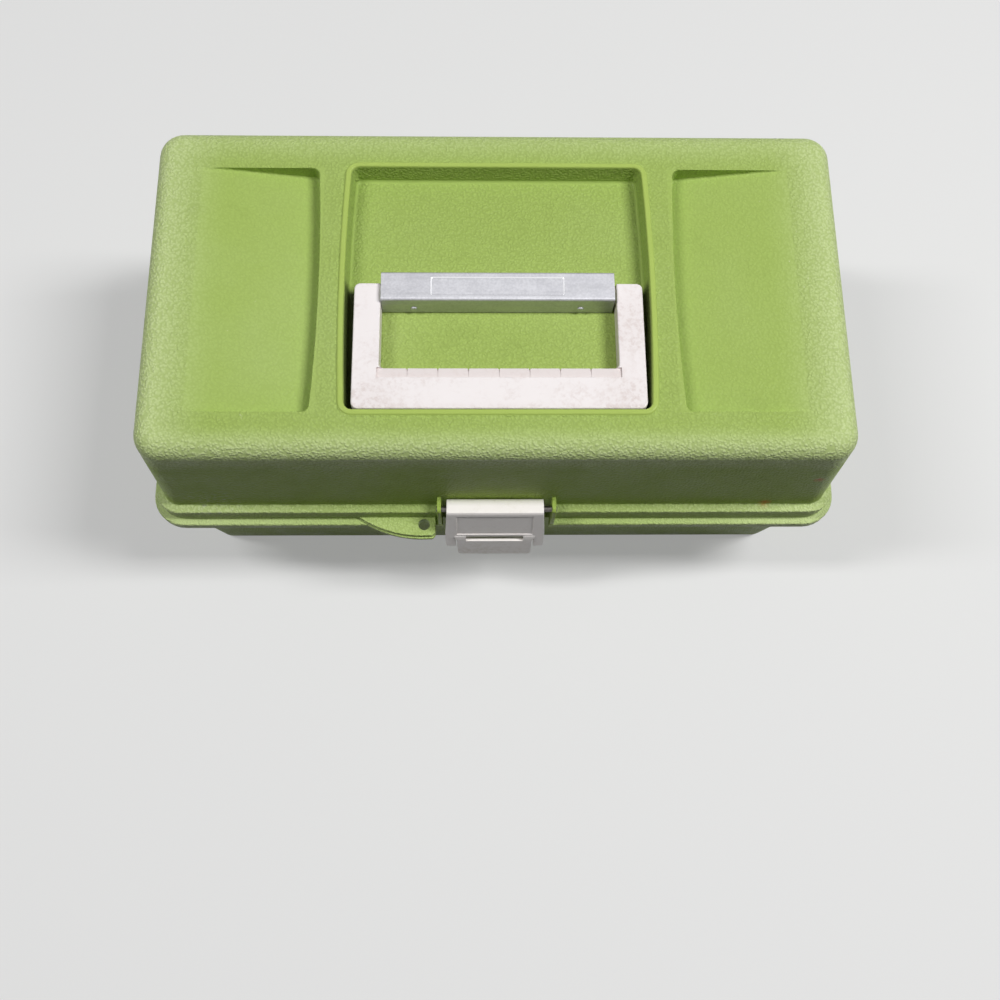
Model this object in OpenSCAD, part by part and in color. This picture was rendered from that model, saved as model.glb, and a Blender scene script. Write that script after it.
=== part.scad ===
// Portable tackle box: a moulded base and lid, a folding handle in a well, a front latch,
// and two trays that swing up and back on arms as the lid opens.
// Millimetres. X runs to the right, Y to the back and Z up. The origin is the centre of the underside.

/* [Case] */
// Width across the lid's top
lid_w = 350; // [340:1:370]
// Depth across the lid's top
lid_d = 179; // [176:1:190]
// Height of the closed case
case_h = 170; // [168:1:180]
// Height of the base, from the underside to the parting line
base_h = 85.5; // [80:0.5:87]
// Thickness of the moulded walls
wall = 2.5; // [2:0.1:3]
// Outward slope of the lid's walls in degrees
lid_draft = 2.4; // [1:0.1:3]
// Outward slope of the base's walls in degrees
base_draft = 5; // [3:0.1:6]
// Plan radius of the lid's upper corners
lid_corner_r = 13; // [11:0.5:16]
// Radius of the round along the lid's top edge
lid_edge_r = 10; // [6:0.5:10.5]
// Plan radius of the walls' corners at the rim
rim_corner_r = 9; // [7:0.5:12]
// Radius of the round along the base's bottom edge
base_edge_r = 4; // [2.5:0.5:6]

/* [Rims] */
// Height of the lid's skirt, which hangs outside the base's rim
skirt_h = 11; // [9.5:0.5:14]
// How far the skirt stands out from the lid's wall
skirt_step = 4.4; // [3.8:0.1:6]
// How far the base's flange stands out from the skirt
flange_step = 3.8; // [3:0.1:5]
// Height of the flange's turned-down lip
lip_h = 6; // [4:0.5:9]
// Thickness of the turned-down lip and of the rim inside the skirt
rim_t = 2.2; // [1.8:0.1:2.4]
// Gap between the rim and the skirt round it
rim_gap = 0.5; // [0.3:0.1:0.8]
// Gap between the rim's top and the lid
rim_top_gap = 1.4; // [1:0.1:2]
// Gap between the closed lid and the base's flange
parting_gap = 0.2; // [0.1:0.1:0.4]

/* [Hinge] */
// Radius of the hinge rod
rod_r = 1.6; // [1.2:0.1:2]
// Outer radius of the knuckles
knuckle_r = 4; // [3.2:0.1:4.2]
// Gap between the skirt and the knuckles
knuckle_gap = 0.6; // [0.4:0.1:1.5]
// Number of knuckles, of which every second one is the lid's
knuckles = 9; // [5:2:13]
// Length of the row of knuckles
hinge_w = 252; // [200:2:280]
// End play between two knuckles
end_play = 0.6; // [0.4:0.1:1]
// Radial clearance of a pin or rivet in its hole
pin_play = 0.05; // [0.03:0.01:0.08]

/* [Handle well] */
// Gap between the handle's sides and the well's walls
handle_gap = 2.6; // [1.5:0.1:3.5]
// Gap between the handle's grip and the well's front wall
grip_gap = 0.4; // [0.3:0.1:1.5]
// Gap between the handle's underside and the well's floor
handle_lift = 0.8; // [0.6:0.1:1.2]
// How much further each side stands out at the middle of its length
well_bulge = 1.8; // [0.5:0.1:3]
// Distance from the lid's middle to the well's back, outside its bead
well_back = 68.7; // [62:0.1:72]
// Depth of the well below the lid's top
well_depth = 10.6; // [10:0.1:12]
// Corner radius of the bead round the well
well_r = 7; // [5:0.5:10]
// Width of the bead
bead_w = 2.8; // [2:0.1:3.2]
// Height of the bead above the lid's top
bead_h = 1.2; // [0.6:0.1:2]

/* [Side panels] */
// Distance from the lid's middle to a panel's deep edge, at the edge's ends
panel_in = 90.8; // [87:0.1:96]
// Distance from the lid's middle to a panel's shallow edge
panel_out = 149.8; // [140:0.1:155]
// How much further in the deep edge lies at the middle of its length
panel_bulge = 2.2; // [0.5:0.1:3]
// Distance from the lid's middle to the panels' front edge
panel_front = 67.8; // [60:0.1:72]
// Distance from the lid's middle to the panels' back edge
panel_back = 65.5; // [60:0.1:70]
// Depth of a panel at its deep edge
panel_depth = 10.2; // [6:0.1:12]
// Corner radius of the panels' deep edge
panel_r = 3.5; // [2:0.1:5]

/* [Handle] */
// Half width of the handle
handle_hw = 71.3; // [70:0.1:72]
// Width of each leg
leg_w = 13.1; // [11:0.1:14]
// Thickness of the handle
handle_t = 10.4; // [9:0.1:10.8]
// Distance from the pivot to the front of the grip
handle_reach = 63.3; // [60:0.1:64]
// Depth of the grip
grip_d = 21.2; // [18:0.1:24]
// Distance from the lid's middle forward to the pivot
pivot_y = 3.2; // [2:0.1:5]
// How far the legs reach behind the pivot
leg_tail = 3.2; // [2:0.1:5]
// Radius of the pivot pegs
peg_r = 4; // [3:0.1:4.4]
// Length of the pivot pegs
peg_l = 12; // [9:0.5:13]
// Radius of the handle's outer corners at the grip
grip_corner_r = 6; // [4:0.5:8]
// Radius of the legs' ends
tail_r = 3; // [2:0.5:3.1]
// Radius of the corners inside the handle
inside_r = 2; // [1:0.5:4]
// Number of finger segments along the grip
fingers = 8; // [4:1:10]
// Depth of the band that the finger segments take
finger_band = 5.4; // [4:0.1:7]
// Depth of the step between the finger segments and the grip
finger_step = 1; // [0.5:0.1:1.5]
// Radius of the nicks between the finger segments
nick_r = 0.9; // [0.5:0.1:1.2]
// How far the handle sits to the right of the middle, within its play
handle_shift = 0.6; // [0:0.1:0.8]

/* [Bracket] */
// Gap between the bracket's ends and the handle's legs
bracket_gap = 0.9; // [0.6:0.1:1.5]
// Depth of the bracket from front to back
bracket_d = 15; // [14:0.1:17]
// How far the bracket stands above the lid's top
bracket_up = 3.5; // [3:0.1:5]
// Thickness of the bracket's sheet
bracket_t = 1.5; // [1:0.1:1.8]
// Distance of each rivet from the bracket's end
bracket_rivet_in = 15.8; // [15.5:0.1:17]
// How far each saddle under the bracket reaches past its rivet
saddle_reach = 5.5; // [4:0.1:7]
// Height of the rivets above the well's floor
bracket_rivet_h = 4.6; // [4:0.1:6]
// Length of the pressed rectangle on the bracket
press_l = 66; // [50:1:80]
// Depth from front to back of the pressed rectangle
press_d = 9.4; // [7:0.1:11]

/* [Latch] */
// Half width of the latch at its top
latch_hw = 25.5; // [24:0.1:27]
// How much wider each side is at the legs
latch_flare = 1.2; // [0:0.1:1.4]
// Distance of the latch pin above the parting line
latch_pin_h = 20; // [18:0.1:22]
// Radius of the latch's barrel round its pin
barrel_r = 5.2; // [4.6:0.1:5.5]
// Radius of the latch pin
latch_pin_r = 1.5; // [1.2:0.1:1.8]
// Thickness of the latch's shell
latch_t = 2.6; // [2:0.1:3]
// How far the latch's front lies before its pin, at the top
latch_front_top = 4.7; // [4.2:0.1:5.5]
// How far the latch's front lies before its pin, at the keeper
latch_front_low = 10.2; // [9.4:0.1:11]
// Height of the legs' lower ends below the parting line
leg_drop = 10; // [8:0.5:12]
// Height of the pull tab's lower end below the parting line
tab_drop = 19.5; // [17:0.5:24]
// Height above the keeper at which the latch reaches its full width
flare_up = 8; // [4:0.5:12]
// Distance from the latch's sides to the shallow panel on its face
face_panel_in = 5; // [3:0.5:7]
// Height of the face panel's lower edge above the keeper
face_panel_up = 8; // [6:0.5:10]
// Depth of the face panel at its upper edge
face_panel_depth = 0.9; // [0.5:0.1:1.2]
// How far the latch sits to the left of the middle, within its play
latch_shift = 0.8; // [0:0.1:1]
// Half width of the pull tab
tab_hw = 20.3; // [18:0.1:21]
// How far the pull tab's lower end leans out from the face
tab_lean = 4.4; // [3:0.1:5]
// Radius of the pull tab's lower corners
tab_corner_r = 3; // [2:0.5:5]
// How much wider the tab's ears are, where they join the face
tab_ear = 1.5; // [1.2:0.1:2]
// Height of the tab's ears
ear_h = 5; // [4:0.5:6]
// Thickness of the lid's ribs beside the latch
rib_t = 2.2; // [1.8:0.1:3]
// Angle at which the round of the ribs ends under the pin
rib_round = 210; // [200:5:230]
// How far the back of the latch's cheeks lies before its pin
cheek_gap = 1.9; // [1.5:0.1:3]
// Gap between the latch's legs and the ribs
rib_gap = 2.6; // [1.6:0.1:3.5]
// Half width of the keeper on the base
keeper_hw = 14.5; // [10:0.5:16]
// Thickness of the keeper
keeper_t = 2.9; // [2.5:0.1:3.5]
// How far the keeper reaches into the latch's window
keeper_bite = 0.9; // [0.5:0.1:1.4]

/* [Padlock tabs] */
// Radius of the curve of the tabs' front edge
tab_r = 62; // [55:1:75]
// How far the tabs stand out from the skirt
hasp_out = 10.6; // [10:0.1:13]
// Distance from the lid's middle to the tabs' end beside the latch, to the left
hasp_end = 32.8; // [32:0.1:34]
// Distance from the lid's middle to the hole
hasp_hole_x = 39; // [38.5:0.1:42]
// Radius of the padlock hole
hasp_hole_r = 3.15; // [2.5:0.05:3.5]
// Distance from the skirt to the hole
hasp_hole_out = 4.4; // [4:0.1:5]
// How far the room under the tabs reaches past the hole
padlock_room = 38; // [30:1:45]
// Radius of the tabs' round end
hasp_end_r = 3; // [2:0.5:4]

/* [Trays] */
// Gap between the trays' ends and the lid's walls at the rim, for the arms
arm_room = 9.1; // [8.5:0.1:11]
// Gap between the trays' front and the lid's front wall at the rim
tray_front_gap = 7; // [6:0.1:10]
// Depth from front to back of the upper tray
upper_d = 137; // [120:1:138]
// Depth from front to back of the lower tray
lower_d = 140; // [120:1:144]
// Distance from the upper tray's rear pivot forward to its long middle wall
upper_split = 8.2; // [7:0.1:14]
// Distance from the lower tray's front pivot back to its long middle wall
lower_split = 21.6; // [14:0.1:30]
// Height of the upper tray
upper_h = 31; // [30:1:33]
// Height of the lower tray
lower_h = 32; // [24:1:34]
// Height of the upper tray's underside below the parting line
upper_drop = 1.5; // [1:0.1:2]
// Gap between the two trays
tray_gap = 1; // [0.5:0.1:1.5]
// Thickness of the trays' walls
tray_t = 2; // [1.6:0.1:2.2]
// How much each tray wall slopes in over its height
tray_slope = 1.5; // [0.5:0.1:2]
// Plan radius of the trays' corners
tray_r = 6; // [4:0.5:8]
// Lip along the trays' front and back
tray_lip = 1.5; // [1:0.1:2]
// Thickness of the loose dividers
divider_t = 1.6; // [1.2:0.1:2]
// Play of a divider in its slot
divider_play = 0.2; // [0.1:0.05:0.4]
// Size of the small ribs that form the slots
slot_rib = 1.2; // [1:0.1:1.5]
// Number of cells between the slots along a tray
slot_cells = 6; // [4:2:8]

/* [Arms] */
// Distance from the upper tray's front to its front pivot
upper_pivot_in = 13.2; // [12:0.1:15]
// Rise from an arm's base pivot to its upper tray pivot
crank_z = 22; // [21.5:0.1:22.5]
// Distance from the lower tray's front to its front pivot
lower_pivot_in = 48.5; // [45:0.1:52]
// Rise from an arm's base pivot to its lower tray pivot
lower_crank_z = 5; // [4.6:0.1:5.4]
// Distance between the base pivots of the front and rear arms
arms_apart = 55; // [50:0.5:58]
// Depth of the front arms' base pivot below the parting line
front_arm_drop = 17.5; // [17:0.1:17.8]
// Distance from the case's back wall at the rim to the rear arms' base pivot
rear_arm_in = 12.1; // [10:0.1:15]
// Depth of the rear arms' base pivot below the parting line
rear_arm_drop = 11.5; // [11:0.1:12]
// Width of an arm's strap
arm_w = 7.4; // [6:0.1:7.8]
// Radius of the eyes round an arm's holes
eye_r = 4.4; // [4:0.1:4.6]
// Thickness of an arm
arm_t = 1.6; // [1.2:0.1:1.8]
// Radius of the rivets' shanks
rivet_r = 1.9; // [1.5:0.1:2]
// Radius of the rivets' heads
rivet_head_r = 3.2; // [2.8:0.1:3.3]
// Thickness of the rivets' heads
rivet_head_t = 1.1; // [0.8:0.1:1.2]
// Side play between an arm and what it lies against
arm_play = 0.2; // [0.1:0.05:0.3]
// Radius of the bosses that carry the rivets on the base and lid
boss_r = 4.5; // [4:0.1:5]
// How far the trays' bosses stand out towards the arms
tray_boss_l = 1.9; // [1.5:0.1:2.5]
// Radius of the bosses on the trays
tray_boss_r = 3.8; // [3.4:0.1:3.9]

/* [Hidden] */
GREEN = [0.58, 0.68, 0.36];
IVORY = [0.80, 0.77, 0.72];
TRAY_GREEN = [0.66, 0.72, 0.50];
STEEL = [0.72, 0.73, 0.74];
BRIGHT = [0.82, 0.83, 0.85];
layer = 0.01;
corner_steps = 8;
edge_steps = 6;
over = 1;
slip = 0.1;

// Levels and half sizes of the case
crease_z = base_h + skirt_h;
lid_bottom = base_h + parting_gap;
lid_spread = (case_h - crease_z) * tan(lid_draft);
crease = [lid_w / 2 + lid_spread, lid_d / 2 + lid_spread];
skirt = crease + [skirt_step, skirt_step];
skirt_r = rim_corner_r + skirt_step;
flange = skirt + [flange_step, flange_step];
flange_r = skirt_r + flange_step;
shelf_z = crease_z - wall;
rim_out = skirt - [wall + rim_gap, wall + rim_gap];
rim_out_r = skirt_r - wall - rim_gap;
rim_top = shelf_z - rim_top_gap;
inner = crease - [wall, wall];
base_shrink = base_h * tan(base_draft);
base_foot = crease - [base_shrink, base_shrink];
floor_z = case_h - well_depth;
ceiling_z = case_h - wall;

// Hinge axis
hinge_y = skirt[1] + knuckle_gap + knuckle_r;
hinge_z = base_h;
knuckle_pitch = hinge_w / knuckles;

// Handle, well and bracket
pivot_z = floor_z + handle_lift + handle_t / 2;
leg_in = handle_hw - leg_w;
well_hw = handle_hw + handle_gap + bead_w;
well_front = pivot_y + handle_reach + grip_gap + bead_w;
bracket_l = 2 * (leg_in - bracket_gap);
bracket_rivet_x = bracket_l / 2 - bracket_rivet_in;
bracket_top = case_h + bracket_up;
bracket_rivet_r = 1.2;
bracket_head_r = 1.75;

// Latch
latch_pin_z = base_h + latch_pin_h;
latch_pin_y = -(lid_d / 2 + (case_h - latch_pin_z) * tan(lid_draft) + barrel_r + 0.3);
rib_in = latch_hw + latch_flare + rib_gap;
rib_out = rib_in + rib_t;
latch_gap_y = skirt[1] - 0.4;
keeper_z = base_h - keeper_t;
keeper_y = latch_pin_y - latch_front_low + latch_t - keeper_bite;
cheek_y = latch_pin_y - cheek_gap;
face_y = latch_pin_y - latch_front_low;
full_hw = latch_hw + latch_flare;
leg_z = base_h - leg_drop;
tab_z = base_h - tab_drop;
window_top = base_h + 2.5;

// Padlock hole and the saddles' inner ends
hasp_hole_y = -(skirt[1] + hasp_hole_out);
saddle_in = bracket_rivet_x - saddle_reach;

// Trays and arms
tray_hw = inner[0] - arm_room;
tray_front = -(inner[1] - tray_front_gap);
upper_z = base_h - upper_drop;
lower_z = upper_z - tray_gap - lower_h;
arm_in = tray_hw + arm_play + tray_boss_l;
arm_out = arm_in + arm_t;
rear_pivot = [inner[1] - rear_arm_in, base_h - rear_arm_drop];
front_pivot = [rear_pivot[0] - arms_apart, base_h - front_arm_drop];
upper_crank = [tray_front + upper_pivot_in - front_pivot[0], crank_z];
lower_crank = [tray_front + lower_pivot_in - front_pivot[0], lower_crank_z];
upper_middle = rear_pivot[0] + upper_crank[0] - upper_split;
lower_middle = front_pivot[0] + lower_crank[0] + lower_split;
lid_pivot = [hinge_y, hinge_z] + upper_crank;
slot_pitch = 2 * tray_hw / slot_cells;
upper_front_slots = [for (i = [1:slot_cells - 1]) i];
upper_rear_slots = [for (i = [2:2:slot_cells - 2]) i];
lower_front_slots = [for (i = [2:2:slot_cells - 2]) i];
lower_rear_slots = [slot_cells / 2];

// Points of an arc about c, from angle a0 to angle a1
function arc(c, r, a0, a1) = [
    for (i = [0:corner_steps])
        let (a = a0 + (a1 - a0) * i / corner_steps)
            [c[0] + r * cos(a), c[1] + r * sin(a)]
];

// Rectangle from lo to hi with round corners
function rounded(lo, hi, r) = concat(
    arc([hi[0] - r, hi[1] - r], r, 0, 90),
    arc([lo[0] + r, hi[1] - r], r, 90, 180),
    arc([lo[0] + r, lo[1] + r], r, 180, 270),
    arc([hi[0] - r, lo[1] + r], r, 270, 360)
);

// Distance by which a bowed side stands out at y, from nothing at its ends
function bow(y, y0, y1, rise) = rise * (1 - pow((2 * y - y0 - y1) / (y1 - y0), 2));

// Points up a bowed side from y0 to y1 at half width hw
function bowed_side(hw, y0, y1, rise, r) = [
    for (i = [0:corner_steps])
        let (y = y0 + r + (y1 - y0 - 2 * r) * i / corner_steps)
            [hw + bow(y, y0, y1, rise), y]
];

// Outline of the handle well, inset from the outside of its bead
function well_outline(inset) =
    let (
        hw = well_hw - inset,
        y0 = -well_front + inset,
        y1 = well_back - inset,
        r = max(well_r - inset, 1),
        right = bowed_side(hw, y0, y1, well_bulge, r),
        half = concat(
            arc([right[0][0] - r, y0 + r], r, 270, 360),
            right,
            arc([right[corner_steps][0] - r, y1 - r], r, 0, 90)
        )
    )
        concat(half, [for (i = [len(half) - 1:-1:0]) [-half[i][0], half[i][1]]]);

// Outline of the right side panel, grown all round
function panel_outline(grow) =
    let (
        y0 = -panel_front - grow,
        y1 = panel_back + grow,
        r = panel_r + grow,
        side = bowed_side(grow - panel_in, y0, y1, panel_bulge, r)
    )
        concat(
            [[panel_out + grow, y0], [panel_out + grow, y1]],
            arc([r - side[corner_steps][0], y1 - r], r, 90, 180),
            [for (i = [corner_steps - 1:-1:1]) [-side[i][0], side[i][1]]],
            arc([r - side[0][0], y0 + r], r, 180, 270)
        );

// Y of the outside of the lid's front wall at height z
function lid_wall_y(z) = -(lid_d / 2 + (case_h - z) * tan(lid_draft));

// Convex moulded box with sloping walls and a round edge at its head
module moulded_box(foot, foot_z, foot_r, head, head_z, head_r, edge_r) {
    up = head_z > foot_z ? 1 : -1;
    hull() {
        translate([0, 0, foot_z - (up > 0 ? 0 : layer)])
            linear_extrude(layer)
                polygon(rounded(-foot, foot, foot_r));
        for (i = [0:edge_steps]) {
            inset = edge_r * (1 - cos(90 * i / edge_steps));
            drop = edge_r * (1 - sin(90 * i / edge_steps));
            translate([0, 0, head_z - up * drop - (up > 0 ? layer : 0)])
                linear_extrude(layer)
                    polygon(rounded(
                        -head + [inset, inset],
                        head - [inset, inset],
                        max(head_r - inset, 1)
                    ));
        }
    }
}

// Flat plate with round corners about the middle of the case
module rim_plate(half, r, z0, z1) {
    translate([0, 0, z0])
        linear_extrude(z1 - z0)
            polygon(rounded(-half, half, r));
}

// Prism along X of a profile given in Y and Z
module along_x(x0, x1, points) {
    translate([x0, 0, 0])
        rotate([90, 0, 90])
            linear_extrude(x1 - x0)
                polygon(points);
}

// Cylinder along X
module rod_x(x0, x1, at, r) {
    translate([x0, at[0], at[1]])
        rotate([0, 90, 0])
            cylinder(h = x1 - x0, r = r, $fn = 48);
}

// Box given by its two corners
module block(lo, hi) {
    translate(lo)
        cube(hi - lo);
}

// Rounds of the knuckle row: the lid's are the odd ones
module knuckle(i, back_of) {
    x0 = -hinge_w / 2 + i * knuckle_pitch + end_play / 2;
    x1 = x0 + knuckle_pitch - end_play;
    rod_x(x0, x1, [hinge_y, hinge_z], knuckle_r);
    block(
        [x0, back_of, i % 2 == 1 ? lid_bottom : hinge_z - lip_h],
        [x1, hinge_y, i % 2 == 1 ? hinge_z + knuckle_r : hinge_z]
    );
}

module rod_hole() {
    rod_x(-hinge_w, hinge_w, [hinge_y, hinge_z], rod_r + pin_play);
}

// Outline of a padlock tab, seen from above
module hasp_outline(extra) {
    front = -(skirt[1] + hasp_out + extra);
    mid = -hasp_hole_x - 1;
    intersection() {
        translate([mid, front + tab_r])
            circle(r = tab_r, $fn = 180);
        polygon(concat(
            [[mid - tab_r, -skirt[1] + 1.5], [mid - tab_r, front]],
            arc([-hasp_end - hasp_end_r, front + hasp_end_r], hasp_end_r, 270, 360),
            [[-hasp_end, -skirt[1] + 1.5]]
        ));
    }
}

module base() {
    color(GREEN)
        difference() {
            union() {
                base_shell();
                base_fittings();
            }
            for (side = [-1, 1], p = [front_pivot, rear_pivot])
                rod_x(
                    side > 0 ? arm_out : 1 - inner[0],
                    side > 0 ? inner[0] - 1 : -arm_out,
                    p, rivet_r + pin_play
                );
            rod_hole();
            translate([-hasp_hole_x, hasp_hole_y, base_h - lip_h - over])
                cylinder(h = lip_h + 2 * over, r = hasp_hole_r, $fn = 48);
        }
}

// The base's moulded box with its rim, flange and lip
module base_shell() {
    difference() {
        union() {
            moulded_box(crease, base_h, rim_corner_r, base_foot, 0, rim_corner_r, base_edge_r);
            rim_plate(rim_out, rim_out_r, base_h - wall, rim_top);
            rim_plate(flange, flange_r, base_h - wall, base_h);
            difference() {
                rim_plate(flange, flange_r, base_h - lip_h, base_h);
                rim_plate(flange - [rim_t, rim_t], flange_r - rim_t, base_h - lip_h - over, base_h - wall / 2);
            }
        }
        moulded_box(
            inner, base_h, rim_corner_r - wall,
            base_foot - [wall, wall], wall, rim_corner_r - wall, base_edge_r - wall / 2
        );
        rim_plate(rim_out - [rim_t, rim_t], rim_out_r - rim_t, base_h - layer, rim_top + over);
        // Room for the latch
        block(
            [-rib_in + 0.5, -flange[1] - over, base_h - lip_h - over],
            [rib_in - 0.5, -latch_gap_y, base_h + over]
        );
        // Room for the padlock under its tab
        block(
            [-hasp_hole_x - padlock_room, -flange[1] - over, base_h - lip_h - over],
            [-rib_in, -skirt[1] - 1, base_h - wall]
        );
        // Room for the lid's knuckles
        for (i = [1:2:knuckles - 2])
            block(
                [-hinge_w / 2 + i * knuckle_pitch - end_play / 2, skirt[1] - 0.3, base_h - lip_h - over],
                [-hinge_w / 2 + (i + 1) * knuckle_pitch + end_play / 2, flange[1] + over, base_h + over]
            );
    }
}

// Arm bosses, hinge knuckles, keeper and lower padlock tab
module base_fittings() {
    for (side = [-1, 1], p = [front_pivot, rear_pivot])
        rod_x(
            side > 0 ? arm_out + arm_play : 1 - inner[0],
            side > 0 ? inner[0] - 1 : -arm_out - arm_play,
            p, boss_r
        );
    for (i = [0:2:knuckles - 1])
        knuckle(i, skirt[1] + 1);
    block([-keeper_hw, keeper_y, keeper_z], [keeper_hw, 1 - latch_gap_y, base_h]);
    translate([0, 0, base_h - wall])
        linear_extrude(wall)
            hasp_outline(1);
}

module lid() {
    color(GREEN)
        difference() {
            union() {
                lid_shell();
                lid_fittings();
            }
            translate([0, 0, floor_z])
                linear_extrude(well_depth + bead_h + over)
                    polygon(well_outline(bead_w));
            for (side = [0, 1])
                mirror([side, 0, 0])
                    panel_pocket(0, over);
            for (side = [-1, 1])
                rod_x(
                    side > 0 ? tray_hw : -inner[0] - 0.5,
                    side > 0 ? inner[0] + 0.5 : -tray_hw,
                    lid_pivot, rivet_r + pin_play
                );
            rod_hole();
            rod_x(-rib_out - over, rib_out + over, [latch_pin_y, latch_pin_z], latch_pin_r + pin_play);
            translate([-hasp_hole_x, hasp_hole_y, base_h])
                cylinder(h = skirt_h, r = hasp_hole_r, $fn = 48);
        }
    color(GREEN)
        lid_well_fittings();
}

// The lid's moulded box with its skirt, well pan, panel pans and bead
module lid_shell() {
    top = [lid_w / 2, lid_d / 2];
    difference() {
        union() {
            moulded_box(crease, crease_z - wall, rim_corner_r, top, case_h, lid_corner_r, lid_edge_r);
            rim_plate(skirt, skirt_r, lid_bottom, crease_z);
        }
        difference() {
            moulded_box(
                inner, crease_z - wall - layer, rim_corner_r - wall,
                top - [wall, wall], ceiling_z, lid_corner_r - wall, lid_edge_r - wall
            );
            translate([0, 0, floor_z - wall])
                linear_extrude(well_depth + wall)
                    polygon(well_outline(bead_w - wall));
            for (side = [0, 1])
                mirror([side, 0, 0])
                    panel_pocket(wall, 0);
        }
        rim_plate(skirt - [wall, wall], skirt_r - wall, base_h - over, shelf_z);
        // Room for the latch between its ribs
        block(
            [-rib_in, -skirt[1] - over, base_h - over],
            [rib_in, -crease[1], crease_z + over]
        );
    }
    translate([0, 0, case_h - wall / 2])
        linear_extrude(bead_h + wall / 2)
            polygon(well_outline(0));
}

// Wedge of a right side panel: grown by the wall for its pan, as it is for its pocket
module panel_pocket(grow, above) {
    deep_x = panel_in - panel_bulge;
    intersection() {
        translate([0, 0, case_h - panel_depth - wall - over])
            linear_extrude(panel_depth + wall + over + above)
                polygon(panel_outline(grow));
        translate([0, lid_d / 2, 0])
            rotate([90, 0, 0])
                linear_extrude(lid_d)
                    polygon([
                        [deep_x - 2 * wall, case_h + above],
                        [deep_x - 2 * wall, case_h - panel_depth - grow],
                        [deep_x, case_h - panel_depth - grow],
                        [panel_out, case_h - grow],
                        [panel_out + 2 * wall, case_h - grow],
                        [panel_out + 2 * wall, case_h + above]
                    ]);
    }
}

// Hinge knuckles, tray bosses, latch ribs and the upper padlock tab
module lid_fittings() {
    for (i = [1:2:knuckles - 2])
        knuckle(i, skirt[1] - 1);
    for (side = [-1, 1])
        rod_x(
            side > 0 ? tray_hw + arm_play : -inner[0] - 0.8,
            side > 0 ? inner[0] + 0.8 : -tray_hw - arm_play,
            lid_pivot, boss_r
        );
    for (x = [-rib_out, rib_in])
        along_x(x, x + rib_t, concat(
            [
                [over - crease[1], crease_z - over],
                [over - skirt[1], crease_z - over],
                [over - skirt[1], lid_bottom],
                [-flange[1], lid_bottom],
                [-flange[1], crease_z - over]
            ],
            arc([latch_pin_y, latch_pin_z], latch_pin_r + rib_t / 2, rib_round, 90),
            [[lid_wall_y(latch_pin_z) + over, latch_pin_z + latch_pin_r + rib_t / 2]]
        ));
    translate([0, 0, lid_bottom])
        linear_extrude(wall)
            hasp_outline(0);
}

// Saddles in the well that carry the handle's pegs under the bracket
module lid_well_fittings() {
    half_d = bracket_d / 2 - bracket_t - slip;
    for (side = [0, 1])
        mirror([side, 0, 0])
            difference() {
                block(
                    [saddle_in, -pivot_y - half_d, floor_z - layer],
                    [bracket_l / 2 - 6 * slip, -pivot_y + half_d, bracket_top - bracket_t - slip]
                );
                rod_x(
                    leg_in - peg_l - handle_shift - slip, leg_in,
                    [-pivot_y, pivot_z], peg_r + pin_play
                );
                translate([bracket_rivet_x, -pivot_y - half_d - over, floor_z + bracket_rivet_h])
                    rotate([-90, 0, 0])
                        cylinder(h = 2 * half_d + 2 * over, r = bracket_rivet_r + pin_play, $fn = 32);
            }
}

module hinge_rod() {
    color(STEEL)
        rod_x(-hinge_w / 2 - 1, hinge_w / 2 + 1, [hinge_y, hinge_z], rod_r);
}

module handle() {
    front = -pivot_y - handle_reach;
    grip_back = front + grip_d;
    tail = -pivot_y + leg_tail;
    z0 = pivot_z - handle_t / 2;
    color(IVORY)
        translate([handle_shift, 0, 0]) {
            difference() {
                intersection() {
                    translate([0, 0, z0])
                        linear_extrude(handle_t)
                            difference() {
                                polygon(concat(
                                    arc([handle_hw - tail_r, tail - tail_r], tail_r, 0, 90),
                                    arc([tail_r - handle_hw, tail - tail_r], tail_r, 90, 180),
                                    arc(
                                        [grip_corner_r - handle_hw, front + grip_corner_r],
                                        grip_corner_r, 180, 270
                                    ),
                                    arc(
                                        [handle_hw - grip_corner_r, front + grip_corner_r],
                                        grip_corner_r, 270, 360
                                    )
                                ));
                                polygon(concat(
                                    [[leg_in, tail + over], [-leg_in, tail + over]],
                                    arc([inside_r - leg_in, grip_back + inside_r], inside_r, 180, 270),
                                    arc([leg_in - inside_r, grip_back + inside_r], inside_r, 270, 360)
                                ));
                            }
                    union() {
                        block([-handle_hw, front, z0], [handle_hw, -pivot_y, z0 + handle_t]);
                        rod_x(-handle_hw, handle_hw, [-pivot_y, pivot_z], handle_t / 2);
                    }
                }
                for (i = [1:fingers - 1])
                    translate([-leg_in + 2 * leg_in * i / fingers, grip_back - finger_band, z0 + handle_t])
                        rotate([-90, 0, 0])
                            cylinder(h = finger_band + over, r = nick_r, $fn = 16);
                along_x(-leg_in, leg_in, [
                    [grip_back + over, z0 + handle_t + over],
                    [grip_back + over, z0 + handle_t - finger_step],
                    [grip_back - finger_band, z0 + handle_t + 0.01]
                ]);
            }
            for (side = [0, 1])
                mirror([side, 0, 0])
                    rod_x(leg_in - peg_l, leg_in + 1, [-pivot_y, pivot_z], peg_r);
        }
}

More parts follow.
